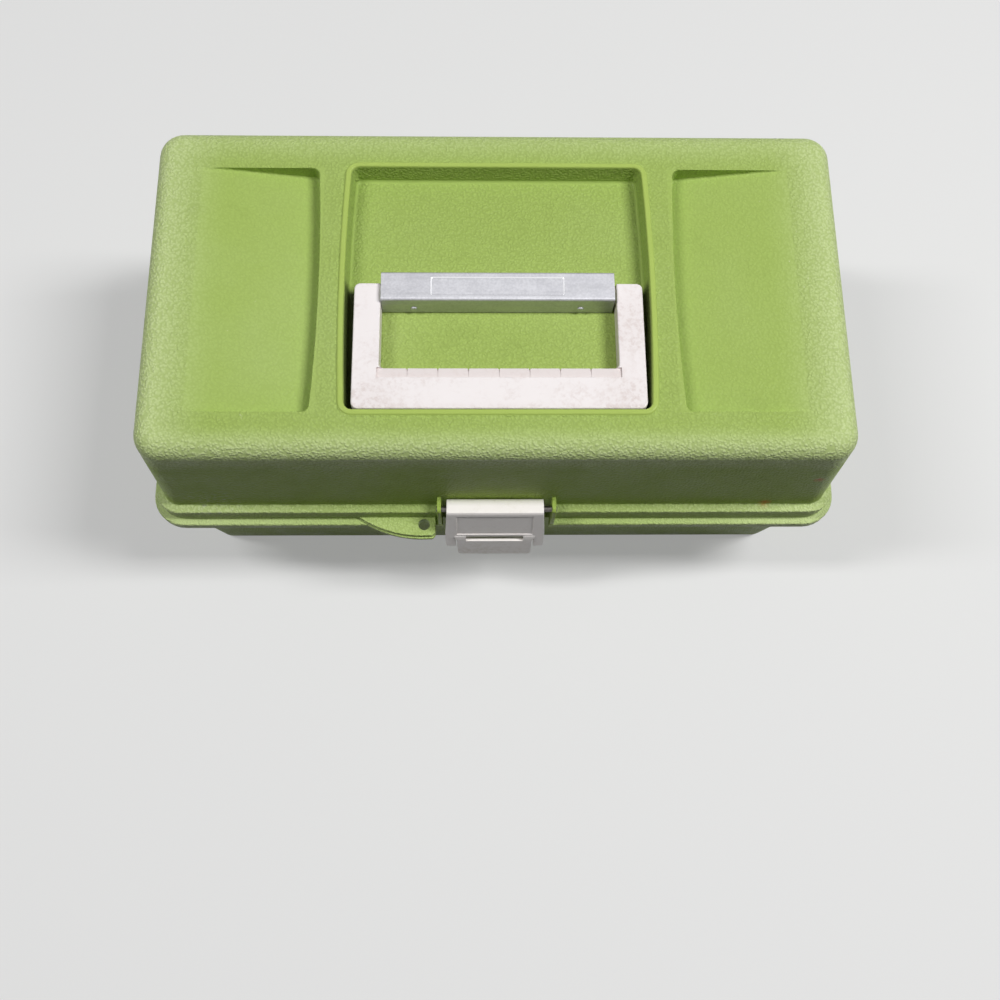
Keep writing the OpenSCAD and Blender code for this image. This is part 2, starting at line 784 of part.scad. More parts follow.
module handle_bracket() {
    half_d = bracket_d / 2;
    color(BRIGHT)
        difference() {
            along_x(-bracket_l / 2, bracket_l / 2, concat(
                [[-pivot_y + half_d, floor_z + 0.2]],
                arc([-pivot_y + half_d - 2, bracket_top - 2], 2, 0, 90),
                arc([-pivot_y - half_d + 2, bracket_top - 2], 2, 90, 180),
                [
                    [-pivot_y - half_d, floor_z + 0.2],
                    [-pivot_y - half_d + bracket_t, floor_z + 0.2],
                    [-pivot_y - half_d + bracket_t, bracket_top - bracket_t],
                    [-pivot_y + half_d - bracket_t, bracket_top - bracket_t],
                    [-pivot_y + half_d - bracket_t, floor_z + 0.2]
                ]
            ));
            difference() {
                block(
                    [-press_l / 2, -pivot_y - press_d / 2, bracket_top - 0.4],
                    [press_l / 2, -pivot_y + press_d / 2, bracket_top + over]
                );
                block(
                    [1 - press_l / 2, 1 - pivot_y - press_d / 2, bracket_top - over],
                    [press_l / 2 - 1, -1 - pivot_y + press_d / 2, bracket_top - 0.1]
                );
            }
            for (side = [-1, 1])
                translate([side * bracket_rivet_x, -pivot_y - half_d - over, floor_z + bracket_rivet_h])
                    rotate([-90, 0, 0])
                        cylinder(h = bracket_d + 2 * over, r = bracket_rivet_r + pin_play, $fn = 32);
        }
}

module bracket_rivets() {
    half_d = bracket_d / 2;
    color(BRIGHT)
        for (side = [-1, 1])
            translate([side * bracket_rivet_x, -pivot_y, floor_z + bracket_rivet_h])
                rotate([-90, 0, 0])
                    rotate_extrude($fn = 32)
                        polygon(concat(
                            [[0, -half_d - 0.9]],
                            [[0.9, -half_d - 0.8], [1.5, -half_d - 0.5], [bracket_head_r, -half_d]],
                            [[bracket_rivet_r, -half_d], [bracket_rivet_r, half_d]],
                            [[bracket_head_r, half_d], [1.5, half_d + 0.5], [0.9, half_d + 0.8]],
                            [[0, half_d + 0.9]]
                        ));
}

module latch() {
    color(IVORY)
        translate([-latch_shift, 0, 0]) {
            latch_body();
            pull_tab();
        }
}

// The latch's shell: barrel, front plate, cheeks and legs
module latch_body() {
    pin = [latch_pin_y, latch_pin_z];
    top = latch_pin_z + barrel_r;
    face = [
        [latch_pin_y - latch_front_top, top - 1],
        [face_y, keeper_z],
        [face_y - 1, leg_z]
    ];
    difference() {
        intersection() {
            union() {
                // Barrel and front plate
                rod_x(-full_hw, full_hw, pin, barrel_r);
                along_x(-full_hw, full_hw, [
                    [latch_pin_y, top],
                    face[0] + [1, 1],
                    face[0], face[1], face[2],
                    face[2] + [latch_t, 0],
                    face[1] + [latch_t, 0],
                    face[0] + [latch_t + 1, -latch_t],
                    [latch_pin_y, top - latch_t]
                ]);
                // Side cheeks
                for (x = [-full_hw, full_hw - latch_t])
                    along_x(x, x + latch_t, [
                        [latch_pin_y, top], face[0], face[1], face[2],
                        [cheek_y, leg_z + 2],
                        [cheek_y, keeper_z],
                        [latch_pin_y + barrel_r - 1, latch_pin_z - 2]
                    ]);
            }
            // Outline from the front: wider at the legs
            translate([0, cheek_y + 2 * barrel_r, 0])
                rotate([90, 0, 0])
                    linear_extrude(6 * barrel_r)
                        polygon(concat(
                            [[latch_hw, top + over]],
                            [[latch_hw, top - 2], [full_hw, keeper_z + flare_up]],
                            arc([full_hw - 2, leg_z + 2], 2, 0, -90),
                            arc([2 - full_hw, leg_z + 2], 2, -90, -180),
                            [[-full_hw, keeper_z + flare_up], [-latch_hw, top - 2]],
                            [[-latch_hw, top + over]]
                        ));
        }
        // Window for the keeper, and the gaps between the legs and the pull tab
        block(
            [-tab_hw - 1, face_y - 4 * over, leg_z - over],
            [tab_hw + 1, cheek_y, window_top]
        );
        // Shallow panel on the face
        along_x(face_panel_in - latch_hw, latch_hw - face_panel_in, [
            face[0] + [-over, -2],
            face[0] + [face_panel_depth, -2],
            face[1] + [face_panel_depth / 4, face_panel_up],
            face[1] + [-over, face_panel_up]
        ]);
        rod_x(-full_hw - over, full_hw + over, pin, latch_pin_r + pin_play);
    }
}

// The latch's pull tab, joined to the face below the window
module pull_tab() {
    difference() {
        intersection() {
            along_x(-full_hw, full_hw, [
                [face_y - 0.4, window_top - 0.5],
                [face_y - 0.6, keeper_z - 1],
                [face_y - tab_lean, tab_z],
                [face_y - tab_lean + latch_t, tab_z],
                [face_y - 0.6 + latch_t, keeper_z - 1],
                [face_y - 0.4 + latch_t, window_top - 0.5]
            ]);
            rotate([90, 0, 0])
                linear_extrude(2 * lid_d)
                    polygon(concat(
                        [[tab_hw + tab_ear, window_top]],
                        [[tab_hw + tab_ear, window_top - ear_h / 2], [tab_hw, window_top - ear_h]],
                        arc([tab_hw - tab_corner_r, tab_z + tab_corner_r], tab_corner_r, 0, -90),
                        arc([tab_corner_r - tab_hw, tab_z + tab_corner_r], tab_corner_r, -90, -180),
                        [[-tab_hw, window_top - ear_h], [-tab_hw - tab_ear, window_top - ear_h / 2]],
                        [[-tab_hw - tab_ear, window_top]]
                    ));
        }
        block(
            [-keeper_hw - 1.5, face_y - tab_lean - over, keeper_z - 0.6],
            [keeper_hw + 1.5, cheek_y, window_top + over]
        );
    }
}

module latch_pin() {
    color(STEEL)
        rod_x(-rib_out - 0.4, rib_out + 0.4, [latch_pin_y, latch_pin_z], latch_pin_r);
}

// Half-size shift of a tray wall at height h above the tray's underside
function tray_in(h, height) = tray_slope * (1 - h / height);

// Convex sloping body between two corner points, used for a tray and for its troughs
module tray_block(lo, hi, z0, z1, height, base_z, r, sides) {
    hull()
        for (z = [z0, z1 - layer]) {
            in = tray_in(z - base_z, height);
            translate([0, 0, z])
                linear_extrude(layer)
                    polygon(rounded(
                        lo + [in, in * sides[0]],
                        hi - [in, in * sides[1]],
                        r
                    ));
        }
}

// One tray: two troughs side by side, slots for dividers, and bosses for its pivots
module tray(depth, middle, height, base_z, pivots, holes) {
    front = tray_front;
    back = tray_front + depth;
    lo = [-tray_hw, front];
    hi = [tray_hw, back];
    color(TRAY_GREEN)
        difference() {
            union() {
                difference() {
                    union() {
                        tray_block(lo, hi, base_z, base_z + height, height, base_z, tray_r, [1, 1]);
                        for (y = [front - tray_lip, back - tray_t])
                            block(
                                [tray_r - tray_hw, y, base_z + height - tray_t],
                                [tray_hw - tray_r, y + tray_t + tray_lip, base_z + height]
                            );
                    }
                    tray_block(
                        lo + [tray_t, tray_t], [tray_hw - tray_t, middle - tray_t / 2],
                        base_z + tray_t, base_z + height + layer, height, base_z, tray_r - tray_t, [1, 0]
                    );
                    tray_block(
                        [tray_t - tray_hw, middle + tray_t / 2], hi - [tray_t, tray_t],
                        base_z + tray_t, base_z + height + layer, height, base_z, tray_r - tray_t, [0, 1]
                    );
                }
                for (side = [-1, 1], p = pivots)
                    rod_x(
                        side > 0 ? tray_hw - tray_t / 2 - tray_slope : -arm_in + arm_play,
                        side > 0 ? arm_in - arm_play : tray_slope + tray_t / 2 - tray_hw,
                        p, tray_boss_r
                    );
                tray_slots(front, middle, back, base_z, height);
            }
            for (side = [-1, 1], p = concat(pivots, holes))
                rod_x(
                    side > 0 ? tray_hw - tray_t - 3 : -arm_in,
                    side > 0 ? arm_in : tray_t + 3 - tray_hw,
                    p, rivet_r + pin_play
                );
        }
}

// Pairs of small ribs on the four long walls of a tray
module tray_slots(front, middle, back, base_z, height) {
    gap = divider_t / 2 + divider_play;
    walls = [
        [front + tray_t / 2, slot_rib + tray_slope + tray_t / 2],
        [middle - tray_t / 2 - slot_rib, slot_rib + over / 2],
        [middle + tray_t / 2 - over / 2, slot_rib + over / 2],
        [back - tray_t - tray_slope - slot_rib, slot_rib + tray_slope + tray_t / 2]
    ];
    for (i = [1:slot_cells - 1], w = walls, side = [0, 1])
        translate([-tray_hw + i * slot_pitch + (side > 0 ? gap : -gap - slot_rib), w[0], base_z + tray_t / 2])
            cube([slot_rib, w[1], height - tray_t / 2 - 3]);
}

// Loose plates that stand in the slots of one trough
module dividers(y0, y1, in0, in1, stations, base_z, height) {
    z0 = base_z + tray_t + 0.1;
    z1 = base_z + height - 3;
    low = tray_in(z0 - base_z, height) + 0.3;
    high = tray_in(z1 - base_z, height) + 0.3;
    for (i = stations)
        along_x(-tray_hw + i * slot_pitch - divider_t / 2, -tray_hw + i * slot_pitch + divider_t / 2, [
            [y0 + (in0 ? low : 0.3), z0],
            [y1 - (in1 ? low : 0.3), z0],
            [y1 - (in1 ? high : 0.3), z1],
            [y0 + (in0 ? high : 0.3), z1]
        ]);
}

module tray_dividers(depth, middle, height, base_z, front_slots, rear_slots) {
    front = tray_front;
    back = tray_front + depth;
    color(TRAY_GREEN) {
        dividers(front + tray_t, middle - tray_t / 2, true, false, front_slots, base_z, height);
        dividers(middle + tray_t / 2, back - tray_t, false, true, rear_slots, base_z, height);
    }
}

module upper_tray() {
    tray(
        upper_d, upper_middle, upper_h, upper_z,
        [front_pivot + upper_crank, rear_pivot + upper_crank],
        [lid_pivot]
    );
}

module lower_tray() {
    tray(
        lower_d, lower_middle, lower_h, lower_z,
        [front_pivot + lower_crank, rear_pivot + lower_crank],
        []
    );
}

module upper_tray_dividers() {
    tray_dividers(upper_d, upper_middle, upper_h, upper_z, upper_front_slots, upper_rear_slots);
}

module lower_tray_dividers() {
    tray_dividers(lower_d, lower_middle, lower_h, lower_z, lower_front_slots, lower_rear_slots);
}

// One arm: a steel strap with a bend at its middle pivot
module arm(side, pivot) {
    points = [pivot, pivot + lower_crank, pivot + upper_crank];
    x0 = side > 0 ? arm_in : -arm_out;
    color(STEEL)
        difference() {
            union() {
                for (p = points)
                    rod_x(x0, x0 + arm_t, p, eye_r);
                for (i = [0, 1]) {
                    run = points[i + 1] - points[i];
                    translate([x0, points[i][0], points[i][1]])
                        rotate([atan2(run[1], run[0]), 0, 0])
                            translate([0, 0, -arm_w / 2])
                                cube([arm_t, norm(run), arm_w]);
                }
            }
            for (p = points)
                rod_x(x0 - over, x0 + arm_t + over, p, rivet_r + pin_play);
        }
}

module front_arm_left() { arm(-1, front_pivot); }
module front_arm_right() { arm(1, front_pivot); }
module rear_arm_left() { arm(-1, rear_pivot); }
module rear_arm_right() { arm(1, rear_pivot); }

// Rivet along X: shank from x0 to x1 with a domed head at each end that is asked for
module rivet(side, x0, x1, at, inner_head, outer_head) {
    heads = concat(
        inner_head ? [
            [rivet_head_r - 1, x0 - rivet_head_t],
            [rivet_head_r, x0 - rivet_head_t / 3],
            [rivet_head_r, x0]
        ] : [],
        [[rivet_r, x0], [rivet_r, x1]],
        outer_head ? [
            [rivet_head_r, x1],
            [rivet_head_r, x1 + rivet_head_t / 3],
            [rivet_head_r - 1, x1 + rivet_head_t]
        ] : []
    );
    lowest = inner_head ? x0 - rivet_head_t : x0;
    highest = outer_head ? x1 + rivet_head_t : x1;
    color(STEEL)
        mirror([side > 0 ? 0 : 1, 0, 0])
            translate([0, at[0], at[1]])
                rotate([0, 90, 0])
                    rotate_extrude($fn = 32)
                        polygon(concat([[0, lowest]], heads, [[0, highest]]));
}

// Rivets that hold the arms to the base: heads between arm and tray
module base_rivets(side) {
    for (p = [front_pivot, rear_pivot])
        rivet(side, arm_in - slip, inner[0] - 2, p, true, false);
}

// Rivets that hold the arms to a tray: a head inside the tray and one outside the arm
module tray_rivets(side, crank) {
    for (p = [front_pivot, rear_pivot])
        rivet(side, tray_hw - tray_t - tray_slope - 0.2, arm_out + slip, p + crank, true, true);
}

// Rivet that holds the upper tray to the lid
module lid_rivet(side) {
    rivet(side, tray_hw - tray_t - tray_slope - 0.2, inner[0] - 0.5, lid_pivot, true, false);
}

module base_rivets_left() { base_rivets(-1); }
module base_rivets_right() { base_rivets(1); }
module upper_tray_rivets_left() { tray_rivets(-1, upper_crank); }
module upper_tray_rivets_right() { tray_rivets(1, upper_crank); }
module lower_tray_rivets_left() { tray_rivets(-1, lower_crank); }
module lower_tray_rivets_right() { tray_rivets(1, lower_crank); }
module lid_rivet_left() { lid_rivet(-1); }
module lid_rivet_right() { lid_rivet(1); }

base();
lid();
hinge_rod();
handle();
handle_bracket();
bracket_rivets();
latch();
latch_pin();
upper_tray();
lower_tray();
upper_tray_dividers();
lower_tray_dividers();
front_arm_left();
front_arm_right();
rear_arm_left();
rear_arm_right();
base_rivets_left();
base_rivets_right();
upper_tray_rivets_left();
upper_tray_rivets_right();
lower_tray_rivets_left();
lower_tray_rivets_right();
lid_rivet_left();
lid_rivet_right();
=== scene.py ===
# %% [markdown]
# Portable tackle box, dressed for a photograph.
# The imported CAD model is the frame: it says where every piece is and how it moves. This script
# models the moulded shells, the handle, the bracket and the latch again with soft edges, and
# gives every piece a finish. All modelling numbers are millimetres in the frame's own axes:
# X to the right, Y to the back, Z up, with the origin at the centre of the underside.

# %% Load the frame
import math

import bmesh
import bpy
from mathutils import Matrix, Vector


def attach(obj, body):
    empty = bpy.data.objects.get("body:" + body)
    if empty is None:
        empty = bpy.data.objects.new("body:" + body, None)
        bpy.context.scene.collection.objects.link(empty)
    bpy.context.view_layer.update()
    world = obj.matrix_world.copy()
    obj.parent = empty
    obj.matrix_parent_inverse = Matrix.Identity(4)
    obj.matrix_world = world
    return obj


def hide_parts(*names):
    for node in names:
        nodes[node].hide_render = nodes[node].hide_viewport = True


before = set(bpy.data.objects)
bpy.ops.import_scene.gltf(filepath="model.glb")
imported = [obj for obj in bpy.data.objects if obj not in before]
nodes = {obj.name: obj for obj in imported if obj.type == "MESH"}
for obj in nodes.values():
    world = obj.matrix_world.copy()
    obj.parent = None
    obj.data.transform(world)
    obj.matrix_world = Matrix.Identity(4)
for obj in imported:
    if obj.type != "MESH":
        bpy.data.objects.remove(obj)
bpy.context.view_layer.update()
MM = 0.001

# %% [markdown]
# The camera comes first. The photograph looks almost straight down at the lid from a little in
# front of it, so that only a thin strip of the front wall shows. Position, direction and field
# of view were solved from the lid's corners and edges, so the render can be laid over it.

# %% Camera
FOCAL_PIXELS = 1057.0
FRAME_PIXELS = 1000
SENSOR = 36.0
CAMERA_PLACE = Vector((-0.01015, -0.25266, 0.64155))
CAMERA_RIGHT = Vector((0.999769, -0.007746, 0.020025))
CAMERA_UP = Vector((0.001698, 0.958252, 0.285922))
camera_data = bpy.data.cameras.new("camera")
camera_data.sensor_fit = "HORIZONTAL"
camera_data.sensor_width = SENSOR
camera_data.lens = FOCAL_PIXELS / FRAME_PIXELS * SENSOR
camera = bpy.data.objects.new("camera", camera_data)
bpy.context.scene.collection.objects.link(camera)
bpy.context.scene.camera = camera
turn = Matrix((CAMERA_RIGHT, CAMERA_UP, CAMERA_RIGHT.cross(CAMERA_UP))).transposed().to_4x4()
camera.matrix_world = Matrix.Translation(CAMERA_PLACE) @ turn
print("lens:", round(camera_data.lens, 2), "mm")

# %% [markdown]
# Shader maths reads best as sums and products. `Wire` wraps an output socket and adds a Math
# node for every operator used on it, and `Finish` starts a material with one Principled shader
# and adds any other node from its type, its settings and its inputs. A finish finds places on
# its piece by coordinates, so there are two kinds of step for that: `past` works along an axis,
# and `aside` on both sides of zero.

# %% Helpers for shader maths


class Wire:
    """An output socket. Each operator used on it adds a Math node."""

    def __init__(self, finish, socket):
        self.finish = finish
        self.socket = socket

    def __add__(self, other):
        return self.finish.math("ADD", self, other)

    def __sub__(self, other):
        return self.finish.math("SUBTRACT", self, other)

    def __rsub__(self, other):
        return self.finish.math("SUBTRACT", other, self)

    def __mul__(self, other):
        return self.finish.math("MULTIPLY", self, other)

    __radd__ = __add__
    __rmul__ = __mul__


class Finish:
    """A material with one Principled shader, and the nodes that feed it."""

    def __init__(self, name, **plain):
        self.material = bpy.data.materials.new(name)
        self.material.use_nodes = True
        self.tree = self.material.node_tree
        self.shader = self.tree.nodes["Principled BSDF"]
        for socket, value in plain.items():
            self.shader.inputs[socket.replace("_", " ")].default_value = value
        self.place = self.node("ShaderNodeTexCoord", out="Object")

    def node(self, kind, settings=None, inputs=None, out=0):
        """Adds a node, sets it up, fills its inputs with values or wires, and gives one output."""
        made = self.tree.nodes.new(kind)
        for key, value in (settings or {}).items():
            setattr(made, key, value)
        for key, value in (inputs or {}).items():
            self.feed(made.inputs[key], value)
        return Wire(self, made.outputs[out])

    def feed(self, socket, value):
        """Links a wire to a socket, or writes a constant there."""
        if isinstance(value, Wire):
            self.tree.links.new(value.socket, socket)
        else:
            socket.default_value = value

    def math(self, operation, a, b):
        """A Math node on two wires or numbers."""
        return self.node("ShaderNodeMath", {"operation": operation}, {0: a, 1: b})

    def mix(self, factor, a, b):
        """Colour a where factor is 0 and colour b where it is 1."""
        return self.node("ShaderNodeMix", {"data_type": "RGBA"}, {0: factor, 6: a, 7: b}, 2)

    def step(self, value, low, high, dark=0.0, light=1.0):
        """A smooth step that goes from dark to light as value goes from low to high."""
        return self.node(
            "ShaderNodeMapRange",
            {"interpolation_type": "SMOOTHSTEP"},
            {0: value, 1: low, 2: high, 3: dark, 4: light},
        )

    def past(self, value, start, end, dark=0.0, light=1.0):
        """A smooth step along a coordinate, between two places in millimetres."""
        return self.step(value, start * MM, end * MM, dark, light)

    def aside(self, value, start, end, dark=0.0, light=1.0):
        """The same step on both sides of zero, between two distances in millimetres."""
        return self.step(value * value, (start * MM) ** 2, (end * MM) ** 2, dark, light)

    def noise(self, scale, detail=2.0, place=None, roughness=0.5):
        """Cloudy noise from 0 to 1, with scale in cycles per metre."""
        return self.node(
            "ShaderNodeTexNoise", None,
            {"Vector": place or self.place, "Scale": scale,
             "Detail": detail, "Roughness": roughness}, "Fac",
        )

    def stretched(self, x, y, z):
        """The piece's coordinates with each axis scaled, for patterns that run along one way."""
        return self.node("ShaderNodeMapping", None, {"Vector": self.place, "Scale": (x, y, z)})

    def axis(self, name):
        """One coordinate of a point on the piece, in metres."""
        return self.node("ShaderNodeSeparateXYZ", None, {0: self.place}, name)

    def spot(self, x, y, z, radius):
        """1 at a point given in millimetres, fading to 0 at radius."""
        away = self.node(
            "ShaderNodeVectorMath", {"operation": "DISTANCE"},
            {0: self.place, 1: (x * MM, y * MM, z * MM)}, "Value",
        )
        return self.step(away, 0.0, radius * MM, 1.0, 0.0)

    def relief(self, height, depth):
        """Feeds the shader's normal from a height of 0 to 1 that stands for depth millimetres."""
        normal = self.node(
            "ShaderNodeBump", None,
            {"Strength": 1.0, "Distance": depth * MM, "Height": height}, "Normal",
        )
        self.feed(self.shader.inputs["Normal"], normal)

    def colour(self, value):
        """Feeds the shader's colour."""
        self.feed(self.shader.inputs["Base Color"], value)

    def rough(self, value):
        """Feeds the shader's roughness."""
        self.feed(self.shader.inputs["Roughness"], value)


print("shader helpers ready")

# %% [markdown]
# The case is moulded from a light yellow-green plastic. Its mould was etched with a fine leather
# grain, so the light breaks up into small specks. The grain is made of rounded pebbles: the
# distance from the middle of random cells gives round tops with valleys between them, the cells
# are bent a little by a noise so that they don't look cut, and a finer noise roughens the tops.

# %% Leather grain
GRAIN_CELLS = 760.0
GRAIN_DEPTH = 0.38


def leather_grain(finish):
    """Pebbles with uneven tops. Gives the pebbles alone, and the height that goes into the bump."""
    warp = finish.node(
        "ShaderNodeTexNoise", None,
        {"Vector": finish.place, "Scale": 300.0, "Detail": 1.0}, "Color",
    )
    bent = finish.node(
        "ShaderNodeMix", {"data_type": "VECTOR"}, {0: 0.0016, 4: finish.place, 5: warp}, 1,
    )
    cells = finish.node(
        "ShaderNodeTexVoronoi", {"feature": "SMOOTH_F1"},
        {"Vector": bent, "Scale": GRAIN_CELLS, "Smoothness": 0.6}, "Distance",
    )
    pebbles = 1.0 - finish.step(cells, 0.15, 0.75)
    return pebbles, pebbles * 0.75 + finish.noise(1900.0, 2.0) * 0.25


print("grain:", GRAIN_CELLS, "cells per metre,", GRAIN_DEPTH, "mm deep")

# %% [markdown]
# The mould was polished along the bead round the handle well and at the foot of the well's walls,
# so the grain fades out there, and it is weaker on the floors of the two side panels. Each place
# is a product of smooth steps. The top is cloudy, with darker dirt in blotches. The walls are
# painted a darker, deeper green than the top, as painted shade, and the grain's valleys are darker.

# %% Green plastic
GREEN = (0.382, 0.515, 0.126, 1.0)
GREEN_PALE = (0.450, 0.575, 0.205, 1.0)
GREEN_BEAD = (0.430, 0.560, 0.125, 1.0)
GREEN_WALL_SHADE = (0.310, 0.430, 0.075, 1.0)
GREEN_DARKER = (0.215, 0.285, 0.065, 1.0)
GREEN_GLINT_SPECK = (0.72, 0.74, 0.48, 1.0)
CASE_TOP = 170.0
WELL_FLOOR = 159.4


def smooth_places(finish):
    """Masks of the bead, of all that is polished, and of the two side panels."""
    x, y, z = (finish.axis(name) for name in "XYZ")
    bead = finish.past(z, CASE_TOP + 0.10, CASE_TOP + 0.45)
    foot = finish.past(z, WELL_FLOOR + 2.2, WELL_FLOOR + 1.4)
    foot = foot * finish.past(z, WELL_FLOOR + 0.02, WELL_FLOOR + 0.2)
    foot = foot * finish.aside(x, 80, 79)
    polish = 1.0 - (1.0 - bead) * (1.0 - foot)
    panel = finish.aside(x, 87, 88) * finish.aside(x, 150.5, 149.5)
    return bead, polish, panel * finish.aside(y + 1.15 * MM, 67.2, 66.4)


def green_plastic(name, wear_and_light_marks):
    """The case's plastic. Its last argument gives masks of wear and of painted light, each with a
    strength and a colour.
    """
    finish = Finish(name, Specular_IOR_Level=0.12)
    pebbles, grain = leather_grain(finish)
    bead, polish, panel = smooth_places(finish)
    grained = (1.0 - polish * 0.9) * (1.0 - panel * 0.5)
    finish.relief(grain * grained, GRAIN_DEPTH)
    cloud = finish.noise(9.0, 4.0, roughness=0.6)
    fine = finish.noise(60.0, 5.0, roughness=0.7)
    body = finish.mix(finish.step(cloud, 0.35, 0.75, 0.0, 0.45), GREEN, GREEN_PALE)
    dirt = finish.step(fine, 0.52, 0.78) * finish.step(cloud, 0.62, 0.38)
    body = finish.mix(dirt * 0.22, body, GREEN_DARKER)
    # The grain's valleys are made darker than the tops of the pebbles.
    body = finish.mix((1.0 - pebbles) * grained * 0.32, body, GREEN_DARKER)
    body = finish.mix(bead * 0.7, body, GREEN_BEAD)
    z = finish.axis("Z")
    # Painted shade: the walls of the lid and the base are painted a darker, deeper green than the
    # top.
    lid_wall_shade = finish.past(z, 159, 148) * finish.past(z, 96.9, 97.6)
    base_wall_shade = finish.past(z, 84, 78)
    body = finish.mix((lid_wall_shade + base_wall_shade) * 0.75, body, GREEN_WALL_SHADE)
    # Painted highlights: sparse pale specks stand in for glints off the grain.
    glint_specks = finish.step(finish.noise(420.0, 2.0), 0.735, 0.78)
    glint_specks = glint_specks * finish.step(finish.noise(14.0, 2.0), 0.5, 0.68)
    body = finish.mix(glint_specks * 0.5, body, GREEN_GLINT_SPECK)
    for mask, strength, colour in wear_and_light_marks(finish, pebbles):
        body = finish.mix(mask * strength, body, colour)
    finish.colour(body)
    finish.rough(finish.step(fine, 0.3, 0.7, 0.35, 0.49) - polish * 0.15)
    return finish.material


print("green, pale to deep:", GREEN_PALE[:3], GREEN[:3], GREEN_WALL_SHADE[:3])

# %% [markdown]
# Wear shows where the box is touched and knocked. The rims, the ends and the rounded edges have
# turned paler with wear, and the tops of the pebbles there are painted paler still, as painted
# highlights. The front has a grey rub and two orange nicks. The narrow gaps beside the handle's
# legs are painted near black, as painted shadow.

# %% Wear on the case
GREEN_WEAR_AND_SHEEN = (0.660, 0.760, 0.400, 1.0)
GAP_PAINTED_SHADOW = (0.020, 0.030, 0.008, 1.0)
RUB_GREY = (0.66, 0.67, 0.58, 1.0)
NICK_ORANGE = (0.62, 0.17, 0.03, 1.0)


def rim_wear(finish, x, z, start, end):
    """Wear that begins between two heights, and is strongest towards the ends of the case."""
    return finish.past(z, start, end) * finish.aside(x, 20, 170, 0.35, 1.0)


def lid_wear_and_light(finish, pebbles):
    """Paler worn ends and rims, painted highlights, painted shadow by the handle, a rub, two nicks.
    """
    x, y, z = (finish.axis(name) for name in "XYZ")
    top = finish.past(z, 145, 162)
    ends = finish.aside(x, 135, 174) * top
    front = finish.past(y, -74, -89) * top
    rear = finish.past(y, 66, 86) * top
    rim = rim_wear(finish, x, z, 98.5, 96.5)
    worn = 1.0 - (1.0 - ends) * (1.0 - front) * (1.0 - rear * 0.6) * (1.0 - rim * 0.9)
    # Painted shadow: the narrow gaps beside the handle's legs are painted near black.
    gap_shadow = finish.aside(x, 66.5, 68.5) * finish.aside(x, 79, 78)
    gap_shadow = gap_shadow * finish.past(y, 5, -1) * finish.past(y, -72, -70)
    gap_shadow = gap_shadow * finish.past(z, 169.6, 167.6) * finish.past(z, WELL_FLOOR - 0.4, WELL_FLOOR - 0.2)
    streaks = finish.noise(260.0, 4.0, finish.stretched(1.0, 1.0, 3.2), 0.7)
    rub = finish.spot(-150, -94, 103, 26) * finish.step(streaks, 0.5, 0.66)
    nicks = finish.spot(163.5, -90.7, 133.5, 4) + finish.spot(144.5, -92.3, 99.5, 5)
    nicks = nicks * finish.step(finish.noise(900.0, 3.0), 0.38, 0.48)
    return [
        # Real wear, with painted highlights: the pebble tops on the worn places are painted paler
        # still.
        (worn * (0.50 + 0.50 * pebbles), 0.78, GREEN_WEAR_AND_SHEEN),
        (gap_shadow, 0.85, GAP_PAINTED_SHADOW),
        (rub, 0.6, RUB_GREY),
        (nicks, 0.85, NICK_ORANGE),
    ]


def base_scuffs(finish, pebbles):
    """Wear on the base: its flange turns pale towards the ends, like the lid's rim."""
    x, z = finish.axis("X"), finish.axis("Z")
    return [(rim_wear(finish, x, z, 79, 80), 0.55, GREEN_WEAR_AND_SHEEN)]


lid_green = green_plastic("lid_green", lid_wear_and_light)
base_green = green_plastic("base_green", base_scuffs)
print("green plastics:", lid_green.name, base_green.name)

# %% [markdown]
# The handle and the latch are an off-white plastic without grain. Hands have worn them: a
# pinkish grey film lies over them in blotches, with dark fine scratches. Two noises of different
# size make the blotches, and a noise stretched along the piece makes the scratches. Each piece
# then adds masks for the places where it is held and dirt stays: the sunken finger band and the
# grip's front on the handle, and the lower end of the latch. The latch is glossier and yellower.

# %% Ivory plastic
HANDLE_IVORY = (0.91, 0.86, 0.855, 1.0)
HANDLE_GRIME = (0.64, 0.54, 0.51, 1.0)
LATCH_IVORY = (0.92, 0.875, 0.845, 1.0)
LATCH_GRIME = (0.66, 0.60, 0.50, 1.0)


def ivory_plastic(name, clean, grime, gloss, wear):
    """An off-white plastic; wear adds masks of grime for the places where hands rub."""
    finish = Finish(name, Specular_IOR_Level=gloss)
    blotches = finish.step(finish.noise(55.0, 6.0, roughness=0.72), 0.42, 0.68)
    mottle = finish.step(finish.noise(420.0, 4.0, roughness=0.6), 0.40, 0.70)
    along = finish.stretched(1.0, 9.0, 9.0)
    scratches = finish.step(finish.noise(90.0, 5.0, along, 0.7), 0.62, 0.74)
    body = finish.mix(blotches * mottle * 0.45, clean, grime)
    body = finish.mix(scratches * 0.18, body, grime)
    for mask in wear(finish, mottle):
        body = finish.mix(mask, body, grime)
    finish.colour(body)
    finish.rough(finish.step(mottle, 0.0, 1.0, 0.34, 0.52))
    finish.relief(finish.noise(650.0, 3.0) * 0.6 + scratches * -0.4, 0.03)
    return finish.material


def handle_wear(finish, mottle):
    """Grime on the finger band, at the grip's front corners, on a leg and along the front edge."""
    y, z = finish.axis("Y"), finish.axis("Z")
    band = finish.past(y, -50.9, -50.3) * finish.past(z, 170.3, 169.9)
    corners = finish.spot(-60, -64, 170, 20) + finish.spot(63, -60, 170, 22)
    corners = corners + finish.spot(65, -22, 170, 30)
    edge = finish.past(y, -62.5, -66.0)
    return [band * 0.4, corners * (0.15 + mottle * 0.45), edge * (0.1 + mottle * 0.25)]


def latch_wear(finish, mottle):
    """Grime that gathers low on the latch, where a thumb pulls it."""
    low = finish.past(finish.axis("Z"), 84, 68)
    return [low * (0.1 + mottle * 0.2)]


